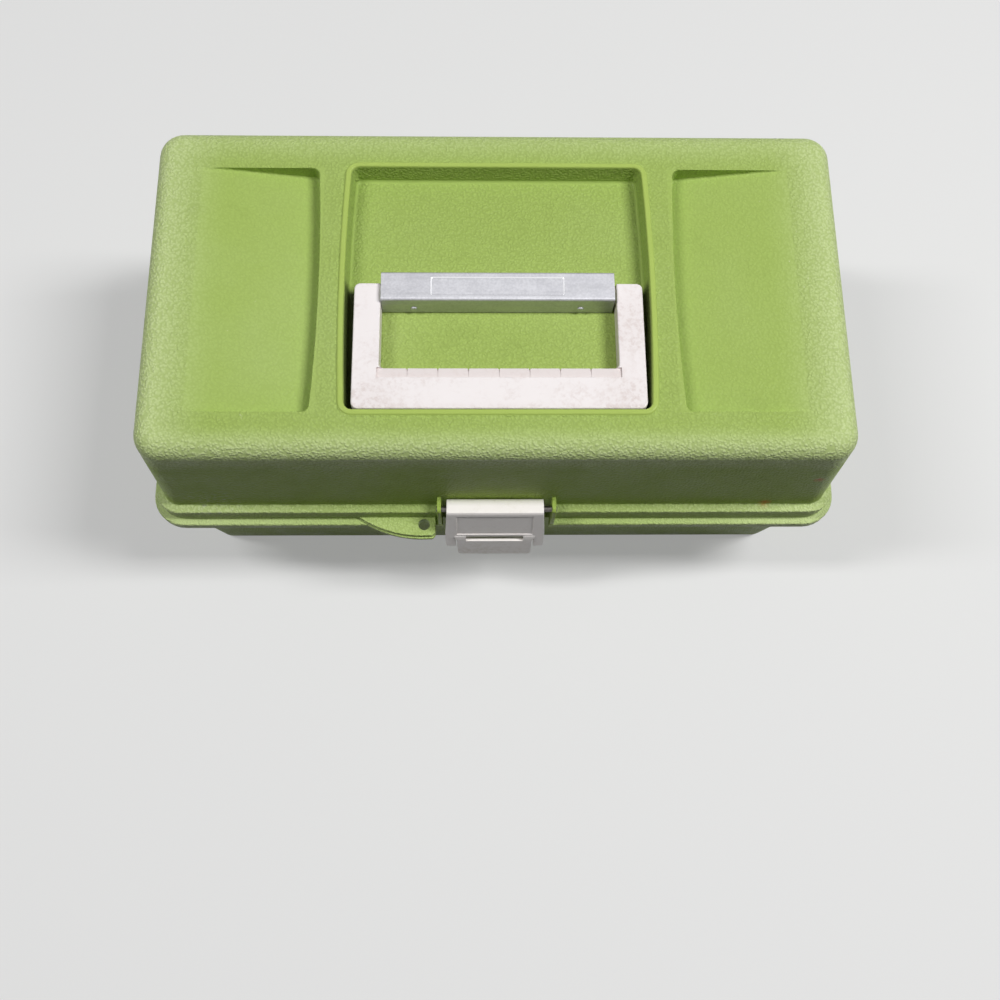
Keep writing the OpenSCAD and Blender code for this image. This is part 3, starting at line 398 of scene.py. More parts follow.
handle_ivory = ivory_plastic("handle_ivory", HANDLE_IVORY, HANDLE_GRIME, 0.4, handle_wear)
latch_ivory = ivory_plastic("latch_ivory", LATCH_IVORY, LATCH_GRIME, 0.9, latch_wear)
print("ivory plastics:", handle_ivory.name, latch_ivory.name)

# %% [markdown]
# The bracket is a bent strip of bright aluminium, drawn along its length. The drawing leaves
# long hairlines, so its noise is stretched forty times along X, and it feeds roughness and bump.
# A fine noise adds the spangle that small crystals give, in colour and a little in height. The
# sloping sides of the pressed rectangle are painted near white as painted highlights, and are a
# little smoother. The hinge rod, arms and rivets are plain zinc-plated steel, and the latch's pin
# is painted dark, as painted shade, since it sits in the shadow of the latch.

# %% Metals
ALUMINIUM = (0.49, 0.49, 0.515, 1.0)
ALUMINIUM_SHADE = (0.40, 0.40, 0.425, 1.0)
PRESS_HIGHLIGHT = (0.95, 0.95, 0.97, 1.0)
STEEL = (0.62, 0.62, 0.61, 1.0)
STEEL_SHADE = (0.48, 0.47, 0.45, 1.0)
PIN_SHADE_DARK = (0.16, 0.155, 0.15, 1.0)
PIN_SHADE_DARKER = (0.10, 0.09, 0.08, 1.0)
DRAWN_ALONG_X = (0.025, 1.0, 1.0)
TURNED_ROUND_X = (1.0, 0.3, 0.3)
BRACKET_Y = -3.2
BRACKET_TOP = 173.5


def press_sides(finish):
    """The sloping sides of the rectangle that is pressed into the bracket's top."""
    x, y, z = (finish.axis(name) for name in "XYZ")
    inside = finish.aside(x, 33.5, 33.3) * finish.aside(y - BRACKET_Y * MM, 5.5, 5.3)
    low = finish.past(z, BRACKET_TOP - 0.47, BRACKET_TOP - 0.42)
    return inside * low * finish.past(z, BRACKET_TOP - 0.01, BRACKET_TOP - 0.04)


def metal(name, colour, shade, roughness, stretch, highlight_places=None):
    """A metal with hairlines and spangle. A function may be given that masks where a painted
    highlight goes.
    """
    finish = Finish(name, Metallic=1.0)
    hairlines = finish.noise(500.0, 3.0, finish.stretched(*stretch), 0.6)
    patches = finish.noise(60.0, 4.0, roughness=0.65)
    spangle = finish.noise(900.0, 3.0)
    body = finish.mix(finish.step(patches * 0.5 + spangle * 0.5, 0.35, 0.65), colour, shade)
    rough = finish.step(hairlines, 0.2, 0.8, roughness - 0.08, roughness + 0.10)
    if highlight_places:
        # Painted highlight: the masked places are painted near white, and made a little smoother.
        mask = highlight_places(finish)
        body = finish.mix(mask * 0.8, body, PRESS_HIGHLIGHT)
        rough = rough - mask * 0.15
    finish.colour(body)
    finish.rough(rough)
    finish.relief(hairlines * 0.6 + spangle * 0.4, 0.03)
    return finish.material


bright_metal = metal("bright_metal", ALUMINIUM, ALUMINIUM_SHADE, 0.50, DRAWN_ALONG_X, press_sides)
steel = metal("steel", STEEL, STEEL_SHADE, 0.34, TURNED_ROUND_X)
# Painted shade: the latch's pin is painted dark, since it sits in the shadow of the latch.
shadowed_pin_steel = metal("shadowed_pin_steel", PIN_SHADE_DARK, PIN_SHADE_DARKER, 0.5, TURNED_ROUND_X)
print("metals:", bright_metal.name, steel.name, shadowed_pin_steel.name)

# %% [markdown]
# The trays are a lighter, smoother green with a faint satin grain. They show the slow flow marks
# of a large thin moulding, and some dust. Every CAD node then gets a finish in its own material
# slots, because a node whose shape is right stays in the scene and only needs a better surface.

# %% Tray plastic, and a finish for every node
TRAY_GREEN = (0.47, 0.55, 0.27, 1.0)
TRAY_GREEN_PALE = (0.53, 0.60, 0.33, 1.0)
TRAY_DUST = (0.34, 0.36, 0.22, 1.0)


def tray_plastic():
    """The plastic of the trays and of their dividers."""
    finish = Finish("tray_green", Specular_IOR_Level=0.45)
    flow = finish.noise(16.0, 3.0, finish.stretched(0.5, 2.0, 2.0))
    satin = finish.noise(1300.0, 2.0)
    dust = finish.step(finish.noise(220.0, 4.0, roughness=0.7), 0.62, 0.80)
    body = finish.mix(finish.step(flow, 0.35, 0.65), TRAY_GREEN, TRAY_GREEN_PALE)
    finish.colour(finish.mix(dust * 0.2, body, TRAY_DUST))
    finish.rough(finish.step(satin, 0.2, 0.8, 0.36, 0.48))
    finish.relief(satin, 0.02)
    return finish.material


tray_green = tray_plastic()
FINISHES = {
    "base": base_green,
    "lid": lid_green,
    "handle": handle_ivory,
    "latch": latch_ivory,
    "handle_bracket": bright_metal,
    "bracket_rivets": bright_metal,
    "latch_pin": shadowed_pin_steel,
}
for name, node in nodes.items():
    tray_part = "tray" in name and "rivet" not in name
    finish = FINISHES.get(name, tray_green if tray_part else steel)
    for slot in node.material_slots:
        slot.material = finish
print("finished nodes:", len(nodes))

# %% [markdown]
# A moulded shell, a bent strip and a handle can all be built up ring by ring. A filled circle is
# placed on the first outline, and then its cap is extruded again and again, and each time the new
# cap is put on the next outline. This is how one pulls a box up by hand with E and S, but with
# exact numbers, so that every wall keeps the thickness and slope that a mould gives it. A finished
# piece is shaded smooth with weighted normals, so that a wide flat face next to a small round
# stays flat, and it then rides on the body of the CAD node that it stands for.

# %% Helpers for outlines and rings


def arc(centre, radius, start, stop, steps=8):
    """Points of an arc in a plane, between two angles in degrees."""
    return [
        (
            centre[0] + radius * math.cos(math.radians(start + (stop - start) * i / steps)),
            centre[1] + radius * math.sin(math.radians(start + (stop - start) * i / steps)),
        )
        for i in range(steps + 1)
    ]


def rounded(half, radius, z, steps=8):
    """A rectangle with round corners about the middle of the case, at height z."""
    x = half[0] - radius
    y = half[1] - radius
    corners = ((x, y, 0), (-x, y, 90), (-x, -y, 180), (x, -y, 270))
    return [
        (px, py, z)
        for cx, cy, turn in corners
        for px, py in arc((cx, cy), radius, turn, turn + 90, steps)
    ]


def grown(half, by):
    """A half size in X and Y with the same length added to both."""
    return (half[0] + by, half[1] + by)


def inset_ring(half, radius, inset, z):
    """A rounded rectangle that is pulled in by inset all round, its corners too."""
    return rounded(grown(half, -inset), radius - inset, z)


def turn_points(steps):
    """Angles in radians from 0 to a right angle, for a quarter round."""
    return [math.pi / 2 * i / steps for i in range(steps + 1)]


def span(side, near, far):
    """Where a piece begins and ends along X, on the left for side -1 or on the right for 1."""
    return sorted((side * near, side * far))


def pick(piece):
    """Selects one object and nothing else."""
    bpy.ops.object.select_all(action="DESELECT")
    piece.select_set(True)
    bpy.context.view_layer.objects.active = piece


def loft(name, rings):
    """A closed solid through rings of points in millimetres. All rings have the same count."""
    bpy.ops.object.select_all(action="DESELECT")
    bpy.ops.mesh.primitive_circle_add(vertices=len(rings[0]), radius=MM, fill_type="NGON")
    piece = bpy.context.object
    piece.name = name
    bpy.ops.object.mode_set(mode="EDIT")
    mesh = bmesh.from_edit_mesh(piece.data)
    for count, ring in enumerate(rings):
        if count:
            bpy.ops.mesh.extrude_region_move()
        cap = next(face for face in mesh.faces if face.select)
        for corner, point in zip(cap.loops, ring):
            corner.vert.co = Vector(point) * MM
    bmesh.update_edit_mesh(piece.data)
    bpy.ops.mesh.select_all(action="SELECT")
    bpy.ops.mesh.normals_make_consistent(inside=False)
    bpy.ops.object.mode_set(mode="OBJECT")
    return piece


def soften(piece, width, segments=2, angle=30):
    """Rounds every edge sharper than angle by width millimetres."""
    pick(piece)
    bevel = piece.modifiers.new("soft edges", "BEVEL")
    bevel.width = width * MM
    bevel.segments = segments
    bevel.limit_method = "ANGLE"
    bevel.angle_limit = math.radians(angle)
    bpy.ops.object.modifier_apply(modifier=bevel.name)
    return piece


def prism(name, axis, start, stop, outline, soft=0.0, segments=2):
    """An outline pushed along X, Y or Z, with its sharp edges rounded."""
    place = "XYZ".index(axis)
    ends = [
        [point[:place] + (depth,) + point[place:] for point in outline]
        for depth in (start, stop)
    ]
    piece = loft(name, ends)
    return soften(piece, soft, segments) if soft else piece


def rod(name, axis, start, stop, centre, radius, count=48, soft=0.0):
    """A round rod, also used to cut holes."""
    circle = arc(centre, radius, 0, 360 - 360 / count, count - 1)
    return prism(name, axis, start, stop, circle, soft)


def block(name, low, high, soft=0.0):
    """A straight block between two opposite corners."""
    corners = [(low[0], low[1]), (high[0], low[1]), (high[0], high[1]), (low[0], high[1])]
    return prism(name, "Z", low[2], high[2], corners, soft)


def carve(target, tool, operation="DIFFERENCE"):
    """Cuts a tool out of a piece, or does another boolean operation, and deletes the tool."""
    pick(target)
    step = target.modifiers.new("carve", "BOOLEAN")
    step.operation = operation
    step.solver = "EXACT"
    step.object = tool
    bpy.ops.object.modifier_apply(modifier=step.name)
    shape = tool.data
    bpy.data.objects.remove(tool, do_unlink=True)
    bpy.data.meshes.remove(shape)


def join(target, tool):
    """Joins a tool on to a piece."""
    carve(target, tool, "UNION")


def settle(piece, node, body, material):
    """Smooths a finished piece, gives it its material and puts it in the place of its CAD node."""
    pick(piece)
    bpy.ops.object.shade_smooth_by_angle(angle=math.radians(32))
    weighted = piece.modifiers.new("flat faces stay flat", "WEIGHTED_NORMAL")
    weighted.keep_sharp = True
    bpy.ops.object.modifier_apply(modifier=weighted.name)
    piece.data.materials.clear()
    piece.data.materials.append(material)
    for face in piece.data.polygons:
        face.material_index = 0
    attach(piece, body)
    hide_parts(node)
    print(piece.name, "faces:", len(piece.data.polygons), "stands for", node)


print("shape helpers ready")

# %% [markdown]
# The numbers that several pieces share come from the CAD model: the levels of the case, the half
# sizes of its rims with their corner radii, and the axes of everything that turns. Each axis is a
# pair of the two coordinates that it doesn't run along.

# %% Shared sizes in millimetres
WALL = 2.5
PARTING = 85.5
SKIRT_END = 85.7
SKIRT_CEILING = 94.0
LEDGE = 96.5
TOP_HALF, TOP_CORNER, TOP_ROUND = (175.0, 89.5), 13.0, 10.0
SKIRT_HALF, SKIRT_CORNER = (182.48, 96.98), 13.4
FLANGE_HALF, FLANGE_CORNER = (186.28, 100.78), 17.2
INNER_HALF, INNER_CORNER = (175.58, 90.08), 6.5
HINGE, HINGE_HOLE = (101.582, 85.5), 1.65
LATCH_PIN, PIN_HOLE = (-97.703, 105.5), 1.55
HASP_HOLE, PADLOCK_HOLE = (-39.0, -101.38), 3.15
ARM_PIVOTS = ((22.982, 68.0), (77.982, 74.0))
TRAY_PIVOT = (8.718, 107.5)
BOSS, PIVOT_HOLE = 4.5, 1.95
HANDLE_PIVOT = (-3.2, 165.4)
RIVET_X, RIVET_Z, RIVET_HOLE = 41.5, 164.0, 1.25
print("levels:", PARTING, LEDGE, CASE_TOP)

# %% [markdown]
# The hinge and the padlock's hasp each have a half on the lid and a half on the base, so both are
# made by one function. Odd knuckles are the lid's and even ones the base's. Each hasp half is a
# tab with one long curve, and the lower one sticks out a little further.

# %% Knuckles and padlock tabs
KNUCKLE_START = -126.0
KNUCKLE_PITCH = 28.0
KNUCKLE_GAP = 0.3
LID_KNUCKLES = (1, 3, 5, 7)
BASE_KNUCKLES = (0, 2, 4, 6, 8)
TAB_FRONT = -107.58
TAB_ROOT = -95.5
TAB_CURVE = 62.0


def knuckle(i, lid_side):
    """One knuckle of the hinge, with the web that joins it to the lid's or the base's rim."""
    start = KNUCKLE_START + i * KNUCKLE_PITCH + KNUCKLE_GAP
    y, z = HINGE
    if lid_side:
        outline = [(96.0, z + 4.0)] + arc(HINGE, 4.0, 90, -177, 20) + [(96.0, z + 0.2)]
    else:
        outline = [(98.0, z - 6.0), (y, z - 6.0)] + arc(HINGE, 4.0, -90, 180, 20) + [(97.6, z - 6.0)]
    return prism("knuckle", "X", start, start + KNUCKLE_PITCH - 2 * KNUCKLE_GAP, outline, 0.3)


def padlock_tab(low, high, out):
    """A tab of the hasp: a long curve out from the skirt, and a round end beside the latch."""
    front = TAB_FRONT - out
    centre = (-40.0, front + TAB_CURVE)
    reach = math.degrees(math.asin((TAB_ROOT - centre[1]) / TAB_CURVE))
    outline = arc(centre, TAB_CURVE, -180 - reach, -86.5, 24)
    outline += arc((-35.8, front + 3.0), 3.0, 285, 360, 5) + [(-32.8, TAB_ROOT)]
    return prism("padlock tab", "Z", low, high, outline, 0.45, 3)


print("hinge axis:", HINGE, "latch pin:", LATCH_PIN)

# %% [markdown]
# The lid is one moulding, 2.5 mm thick all over. Its outside is a box with a 10 mm round along
# the top edge, a narrow ledge and a skirt that hangs over the base's rim. It could be a bevelled
# box with a Solidify modifier, but a ring at each change of form gives the true inside as well:
# the rings run from the middle of the top, out and down, round the skirt's edge and up inside.

# %% Lid shell
SHOULDER = CASE_TOP - TOP_ROUND
WALL_LEAN = 3.08
MID_WALL = 130.0
FILLET = 0.9
SKIRT_PROFILE = (
    (0.0, 86.2), (0.15, 85.85), (0.5, SKIRT_END), (2.2, SKIRT_END),
    (WALL, 86.0), (WALL, SKIRT_CEILING),
)


def wall_half(z):
    """Half size of the lid's outside at height z. The wall leans out towards the skirt."""
    return grown(TOP_HALF, WALL_LEAN * (SHOULDER - z) / (SHOULDER - SKIRT_CEILING))


rings = []
for a in turn_points(10):
    inset = TOP_ROUND * (1 - math.sin(a))
    rings.append(inset_ring(TOP_HALF, TOP_CORNER, inset, SHOULDER + TOP_ROUND * math.cos(a)))
rings.append(rounded(wall_half(MID_WALL), 11.2, MID_WALL))
for a in turn_points(3):
    out, z = FILLET * (1 - math.cos(a)), LEDGE + FILLET * (1 - math.sin(a))
    rings.append(inset_ring(wall_half(LEDGE + FILLET), 9.2, -out, z))
for a in turn_points(4):
    rings.append(inset_ring(SKIRT_HALF, SKIRT_CORNER, 1 - math.sin(a), LEDGE - 1 + math.cos(a)))
for inset, z in SKIRT_PROFILE:
    rings.append(inset_ring(SKIRT_HALF, SKIRT_CORNER, inset, z))
rings.append(rounded(INNER_HALF, INNER_CORNER, SKIRT_CEILING))
for a in turn_points(5):
    inset = (TOP_ROUND - WALL) * (1 - math.cos(a))
    z = SHOULDER + (TOP_ROUND - WALL) * math.sin(a)
    rings.append(inset_ring(grown(TOP_HALF, -WALL), TOP_CORNER - WALL, inset, z))
lid = loft("moulded_lid", rings)
print("lid shell rings:", len(rings))

# %% [markdown]
# The handle lies in a well with a raised bead round it. The well's long sides bow out a little,
# and so does the deep edge of each sloped side panel. The pans that form them hang inside the
# lid. They are joined on first, and the hollows are then cut from above. The cutters carry the
# mould's rounds: wide at the foot of a wall and narrow at its top.

# %% Handle well and bead
WELL_HALF = 76.7
WELL_FRONT = -69.7
WELL_REAR = 68.7
WELL_BOW = 1.8
MOUTH_INSET = 2.8
FOOT_INSET = 3.9
FOOT_ROUND = 2.0
BEAD_TOP = 171.2
BEAD_PROFILE = (
    (-0.7, 168.6), (-0.95, 169.97), (-0.5, 170.08), (-0.15, 170.35), (0.05, 170.75),
    (0.3, 171.0), (0.65, 171.16), (1.1, BEAD_TOP),
)


def bowed(half_x, y0, y1, rise, radius, steps=12):
    """Points up one long side that bows out by rise at its middle."""
    points = []
    for i in range(steps + 1):
        y = y0 + radius + (y1 - y0 - 2 * radius) * i / steps
        points.append((half_x + rise * (1 - ((2 * y - y0 - y1) / (y1 - y0)) ** 2), y))
    return points


def well_ring(inset, z, front=None):
    """Outline of the well, inset from the outside of its bead. The front may have its own inset."""
    y0 = WELL_FRONT + (inset if front is None else front)
    y1 = WELL_REAR - inset
    radius = max(7.0 - inset, 1.8)
    side = bowed(WELL_HALF - inset, y0, y1, WELL_BOW, radius)
    half = arc((side[0][0] - radius, y0 + radius), radius, 270, 360)[:-1] + side
    half += arc((side[-1][0] - radius, y1 - radius), radius, 0, 90)[1:]
    return [(x, y, z) for x, y in half] + [(-x, y, z) for x, y in reversed(half)]


join(lid, loft("well pan", [
    well_ring(1.8, WELL_FLOOR - WALL), well_ring(0.3, WELL_FLOOR - 1.0), well_ring(0.3, 168.4),
]))
join(lid, loft("bead", [well_ring(inset, z) for inset, z in BEAD_PROFILE]))
cutter_rings = []
for a in turn_points(5):
    inset = FOOT_INSET + FOOT_ROUND * (1 - math.sin(a))
    front = MOUTH_INSET + 0.9 * (1 - math.sin(a))
    cutter_rings.append(well_ring(inset, WELL_FLOOR + FOOT_ROUND * (1 - math.cos(a)), front))
cutter_rings.append(well_ring(MOUTH_INSET, 170.4))
for a in turn_points(4)[1:]:
    inset = MOUTH_INSET - 0.8 * (1 - math.cos(a))
    cutter_rings.append(well_ring(inset, 170.4 + 0.82 * math.sin(a)))
cutter_rings.append(well_ring(2.0, 174.0))
carve(lid, loft("well cutter", cutter_rings))
print("well floor:", WELL_FLOOR, "bead top:", BEAD_TOP)

# %% [markdown]
# A side panel is a wedge: level with the lid's top at its outer end, and 10 mm deep at its inner
# end, near the well.
# All its points share one plan outline, and only the height differs from point to point, so a
# ring takes a function that gives the height for each x. The cutter runs on past the shallow
# end, where the sloping floor comes out of the lid's top by itself.

# %% Side panels
PANEL_SHALLOW = 149.8
PANEL_DEEP = 88.6
PANEL_DEPTH = 10.2
PANEL_FRONT = -67.8
PANEL_REAR = 65.5
PANEL_ROUND = 1.5
PANEL_EDGE = 0.6
PANEL_BOW = 2.2


def panel_floor(x):
    """Height of a panel's sloping floor."""
    return CASE_TOP - PANEL_DEPTH * (PANEL_SHALLOW - x) / (PANEL_SHALLOW - PANEL_DEEP)


def panel_ring(side, grow, height, far=PANEL_SHALLOW):
    """Outline of a panel on one side of the lid; height gives z for each x."""
    y0, y1 = PANEL_FRONT - grow, PANEL_REAR + grow
    radius = 3.5 + grow
    deep = [(-x, y) for x, y in bowed(grow - PANEL_DEEP - PANEL_BOW, y0, y1, PANEL_BOW, radius)]
    outline = [(far + grow, y0), (far + grow, y1)]
    outline += arc((deep[-1][0] + radius, y1 - radius), radius, 90, 180)[:-1]
    outline += list(reversed(deep))
    outline += arc((deep[0][0] + radius, y0 + radius), radius, 180, 270)[1:]
    return [(side * x, y, height(x)) for x, y in outline]


for side in (-1, 1):
    join(lid, loft("panel pan", [
        panel_ring(side, WALL, lambda x: panel_floor(x) - WALL),
        panel_ring(side, WALL, lambda x: 168.3),
    ]))
for side in (-1, 1):
    far = PANEL_SHALLOW + 12.0
    levels = []
    for a in turn_points(5):
        rise = PANEL_ROUND * (1 - math.cos(a))
        levels.append((-PANEL_ROUND * (1 - math.sin(a)), lambda x, r=rise: panel_floor(x) + r))
    for k, a in enumerate(turn_points(4)):
        z = CASE_TOP - PANEL_EDGE + 0.62 * math.sin(a)
        levels.append((
            PANEL_EDGE * (1 - math.cos(a)),
            lambda x, z=z, k=k: max(z, panel_floor(x) + PANEL_ROUND + 0.01 * (k + 1)),
        ))
    levels.append((PANEL_EDGE, lambda x: 176.0))
    cutter = [panel_ring(side, grow, height, far) for grow, height in levels]
    carve(lid, loft("panel cutter", cutter))
print("panel depth:", PANEL_DEPTH)

# %% [markdown]
# The rest of the lid is fittings: the notch and the two ribs that hold the latch's pin, the upper
# padlock tab, four hinge knuckles, the bosses that the upper tray swings on, and the two saddles
# that carry the handle's pegs under the bracket. Each is a prism with softened edges, joined on.

# %% Lid fittings
RIB_IN = 29.3
RIB_OUT = 31.5
carve(lid, block("latch notch", (-RIB_IN, -98.2, 84.0), (RIB_IN, -92.6, 97.6)))
for x in (-RIB_OUT, RIB_IN):
    outline = [
        (-91.4, 95.5), (-96.0, 95.5), (-96.0, SKIRT_END),
        (-FLANGE_HALF[1], SKIRT_END), (-FLANGE_HALF[1], 95.5),
    ]
    outline += arc(LATCH_PIN, 2.6, 210, 90, 10) + [(-91.3, 108.1)]
    join(lid, prism("rib", "X", x, x + RIB_OUT - RIB_IN, outline, 0.4, 3))
join(lid, padlock_tab(SKIRT_END, 88.2, 0.0))
for i in LID_KNUCKLES:
    join(lid, knuckle(i, True))
for side in (-1, 1):
    join(lid, rod("tray boss", "X", *span(side, 166.68, 176.4), TRAY_PIVOT, BOSS, soft=0.4))
    carve(lid, rod("tray hole", "X", *span(side, 166.0, 175.9), TRAY_PIVOT, PIVOT_HOLE, 24))
    left, right = span(side, 36.0, 56.7)
    join(lid, block("saddle", (left, -9.1, 158.6), (right, 2.7, 171.9), 0.3))
    carve(lid, rod("peg hole", "X", *span(side, 45.4, 58.3), HANDLE_PIVOT, 4.05, 32))
    rivet = (side * RIVET_X, RIVET_Z)
    carve(lid, rod("rivet hole", "Y", -10.0, 4.0, rivet, RIVET_HOLE, 24))
carve(lid, rod("hinge hole", "X", -130, 130, HINGE, HINGE_HOLE, 32))
carve(lid, rod("latch pin hole", "X", -33, 33, LATCH_PIN, PIN_HOLE, 32))
carve(lid, rod("padlock hole", "Z", 84.0, 90.0, HASP_HOLE, PADLOCK_HOLE))
settle(lid, "lid", "lid", lid_green)

# %% [markdown]
# The base is the lower half of the case. Its walls lean out by five degrees so that it leaves the
# mould, a flange with a turned-down lip runs round it, and a thin rim stands up inside the lid's
# skirt. Its rings run from the middle of the underside, up the outside, round the flange, the lip
# and the rim, and down inside to the floor.

# %% Base shell
FOOT_HALF = (170.6, 85.1)
FLOOR_HALF = (168.1, 82.6)
BASE_CORNER = 9.0
BASE_ROUND = 4.0
BASE_LEAN = 7.48
FLOOR_ROUND = 2.75
LIP_ROUND = 1.1
LIP_PROFILE = ((2.2, 83.0), (2.2, 79.8), (1.9, 79.5), (0.4, 79.5), (0.0, 79.9))
RIM_PROFILE = (
    (6.4, PARTING), (6.8, 85.9), (6.8, 92.2), (7.2, 92.6), (8.6, 92.6), (9.0, 92.2), (9.0, PARTING),
)


def base_half(z):
    """Half size of the base's outside at height z."""
    return grown(FOOT_HALF, BASE_LEAN * (z - BASE_ROUND) / (PARTING - BASE_ROUND))


rings = []
for a in turn_points(5):
    inset, z = BASE_ROUND * (1 - math.sin(a)), BASE_ROUND * (1 - math.cos(a))
    rings.append(inset_ring(base_half(BASE_ROUND), BASE_CORNER, inset, z))
rings.append(rounded(base_half(82.2), BASE_CORNER, 82.2))
rings.append(inset_ring(base_half(83.0), BASE_CORNER, -0.8, 83.0))
for inset, z in LIP_PROFILE:
    rings.append(inset_ring(FLANGE_HALF, FLANGE_CORNER, inset, z))
for a in turn_points(4):
    inset = LIP_ROUND * (1 - math.cos(a))
    z = PARTING - LIP_ROUND + LIP_ROUND * math.sin(a)
    rings.append(inset_ring(FLANGE_HALF, FLANGE_CORNER, inset, z))
for inset, z in RIM_PROFILE:
    rings.append(inset_ring(FLANGE_HALF, FLANGE_CORNER, inset, z))
rings.append(rounded(INNER_HALF, INNER_CORNER, PARTING))
for a in turn_points(4):
    inset = FLOOR_ROUND * (1 - math.cos(a))
    z = WALL + FLOOR_ROUND - FLOOR_ROUND * math.sin(a)
    rings.append(inset_ring(FLOOR_HALF, INNER_CORNER, inset, z))
base = loft("moulded_base", rings)
print("base shell rings:", len(rings))

# %% [markdown]
# The base's flange makes room for the latch, for the padlock's shackle and for the lid's
# knuckles. Then come bosses with holes for the four arms, its own knuckles, the keeper that the
# latch drops over, and the lower padlock tab. What makes room is cut before anything is joined
# on, so that the cuts can't touch the fittings.

# %% Base fittings
carve(base, block("latch room", (-28.8, -102, 78.0), (28.8, -96.6, 86.5)))
carve(base, block("padlock room", (-77.0, -102, 78.0), (-29.3, -98.0, 83.0)))
for i in LID_KNUCKLES:
    start = KNUCKLE_START + i * KNUCKLE_PITCH - KNUCKLE_GAP
    end = start + KNUCKLE_PITCH + 2 * KNUCKLE_GAP
    carve(base, block("knuckle room", (start, 96.7, 78.0), (end, 102.0, 86.5)))
for side in (-1, 1):
    for pivot in ARM_PIVOTS:
        join(base, rod("arm boss", "X", *span(side, 170.38, 174.6), pivot, BOSS, soft=0.3))
        carve(base, rod("arm hole", "X", *span(side, 169.8, 174.6), pivot, PIVOT_HOLE, 24))
for i in BASE_KNUCKLES:
    join(base, knuckle(i, False))
join(base, block("keeper", (-14.5, -106.2, 82.6), (14.5, -95.6, PARTING), 0.5))
join(base, padlock_tab(83.0, PARTING, 1.0))
carve(base, rod("hinge hole", "X", -130, 130, HINGE, HINGE_HOLE, 32))
carve(base, rod("padlock hole", "Z", 78.0, 90.0, HASP_HOLE, PADLOCK_HOLE))
settle(base, "base", "base", base_green)

# %% [markdown]
# The handle is a solid off-white moulding, shaped like a U, that swings on two pegs. Hands need
# soft edges, so its prism gets a small round bevel before anything is cut. The grip's rear has a
# lower band with eight finger segments. The nicks between them open towards the back, so each
# is cut with a small tapered wedge.

# %% Handle
HANDLE_SHIFT = 0.6
HANDLE_LOW = 160.2
HANDLE_HIGH = 170.6
LEG_IN, LEG_OUT = 58.2, 71.3
LEG_ROUND, GRIP_ROUND, INNER_ROUND = 3.0, 3.5, 2.0
GRIP_FRONT = -66.5
GRIP_BACK = -45.3
BAND_HALF = 59.4
FINGERS = 8
leg_x, leg_y = LEG_OUT - LEG_ROUND, -LEG_ROUND
inner_x, inner_y = LEG_IN - INNER_ROUND, GRIP_BACK + INNER_ROUND
grip_x, grip_y = LEG_OUT - GRIP_ROUND, GRIP_FRONT + GRIP_ROUND
outline = arc((leg_x, leg_y), LEG_ROUND, 0, 90) + [(LEG_IN, 0.0)]
outline += list(reversed(arc((inner_x, inner_y), INNER_ROUND, 270, 360, 4)))
outline += list(reversed(arc((-inner_x, inner_y), INNER_ROUND, 180, 270, 4)))
outline += [(-LEG_IN, 0.0)] + arc((-leg_x, leg_y), LEG_ROUND, 90, 180)
outline += arc((-grip_x, grip_y), GRIP_ROUND, 180, 270)
outline += arc((grip_x, grip_y), GRIP_ROUND, 270, 360)
outline = [(x + HANDLE_SHIFT, y) for x, y in outline]
handle = prism("folding_handle", "Z", HANDLE_LOW, HANDLE_HIGH, outline, 0.8, 3)
band = [
    (GRIP_BACK + 0.05, HANDLE_HIGH + 1.0), (GRIP_BACK + 0.05, HANDLE_HIGH - 1.3),
    (GRIP_BACK - 0.6, HANDLE_HIGH - 1.1), (GRIP_BACK - 4.5, HANDLE_HIGH - 0.95),
    (GRIP_BACK - 4.85, HANDLE_HIGH - 0.8), (GRIP_BACK - 5.05, HANDLE_HIGH - 0.15),
    (GRIP_BACK - 5.3, HANDLE_HIGH + 0.02), (GRIP_BACK - 5.6, HANDLE_HIGH + 1.0),
]
carve(handle, prism("finger band", "X", HANDLE_SHIFT - BAND_HALF, HANDLE_SHIFT + BAND_HALF, band))
nick_rings = (
    (0.4, GRIP_BACK - 5.0, 1.1), (0.5, GRIP_BACK - 1.6, 1.7), (1.6, GRIP_BACK + 0.8, 3.2),
)
for i in range(1, FINGERS):
    x = HANDLE_SHIFT - BAND_HALF + 2 * BAND_HALF * i / FINGERS
    carve(handle, loft("nick", [
        [(x - wide, y, 171.4), (x + wide, y, 171.4), (x, y, HANDLE_HIGH - deep)]
        for wide, y, deep in nick_rings
    ]))
for start in (LEG_IN - 12.0, -LEG_IN - 1.0):
    ends = (start + HANDLE_SHIFT, start + 13.0 + HANDLE_SHIFT)
    join(handle, rod("peg", "X", *ends, HANDLE_PIVOT, 4.0, soft=0.4))
settle(handle, "handle", "handle", handle_ivory)

# %% [markdown]
# The bracket that holds the handle down is a strip of bright metal bent into a channel. Its top
# has a shallow pressed rectangle. A plain groove would look drawn on, so the press is a tray with
# sloping sides, which catch the lamps the way pressed metal does.

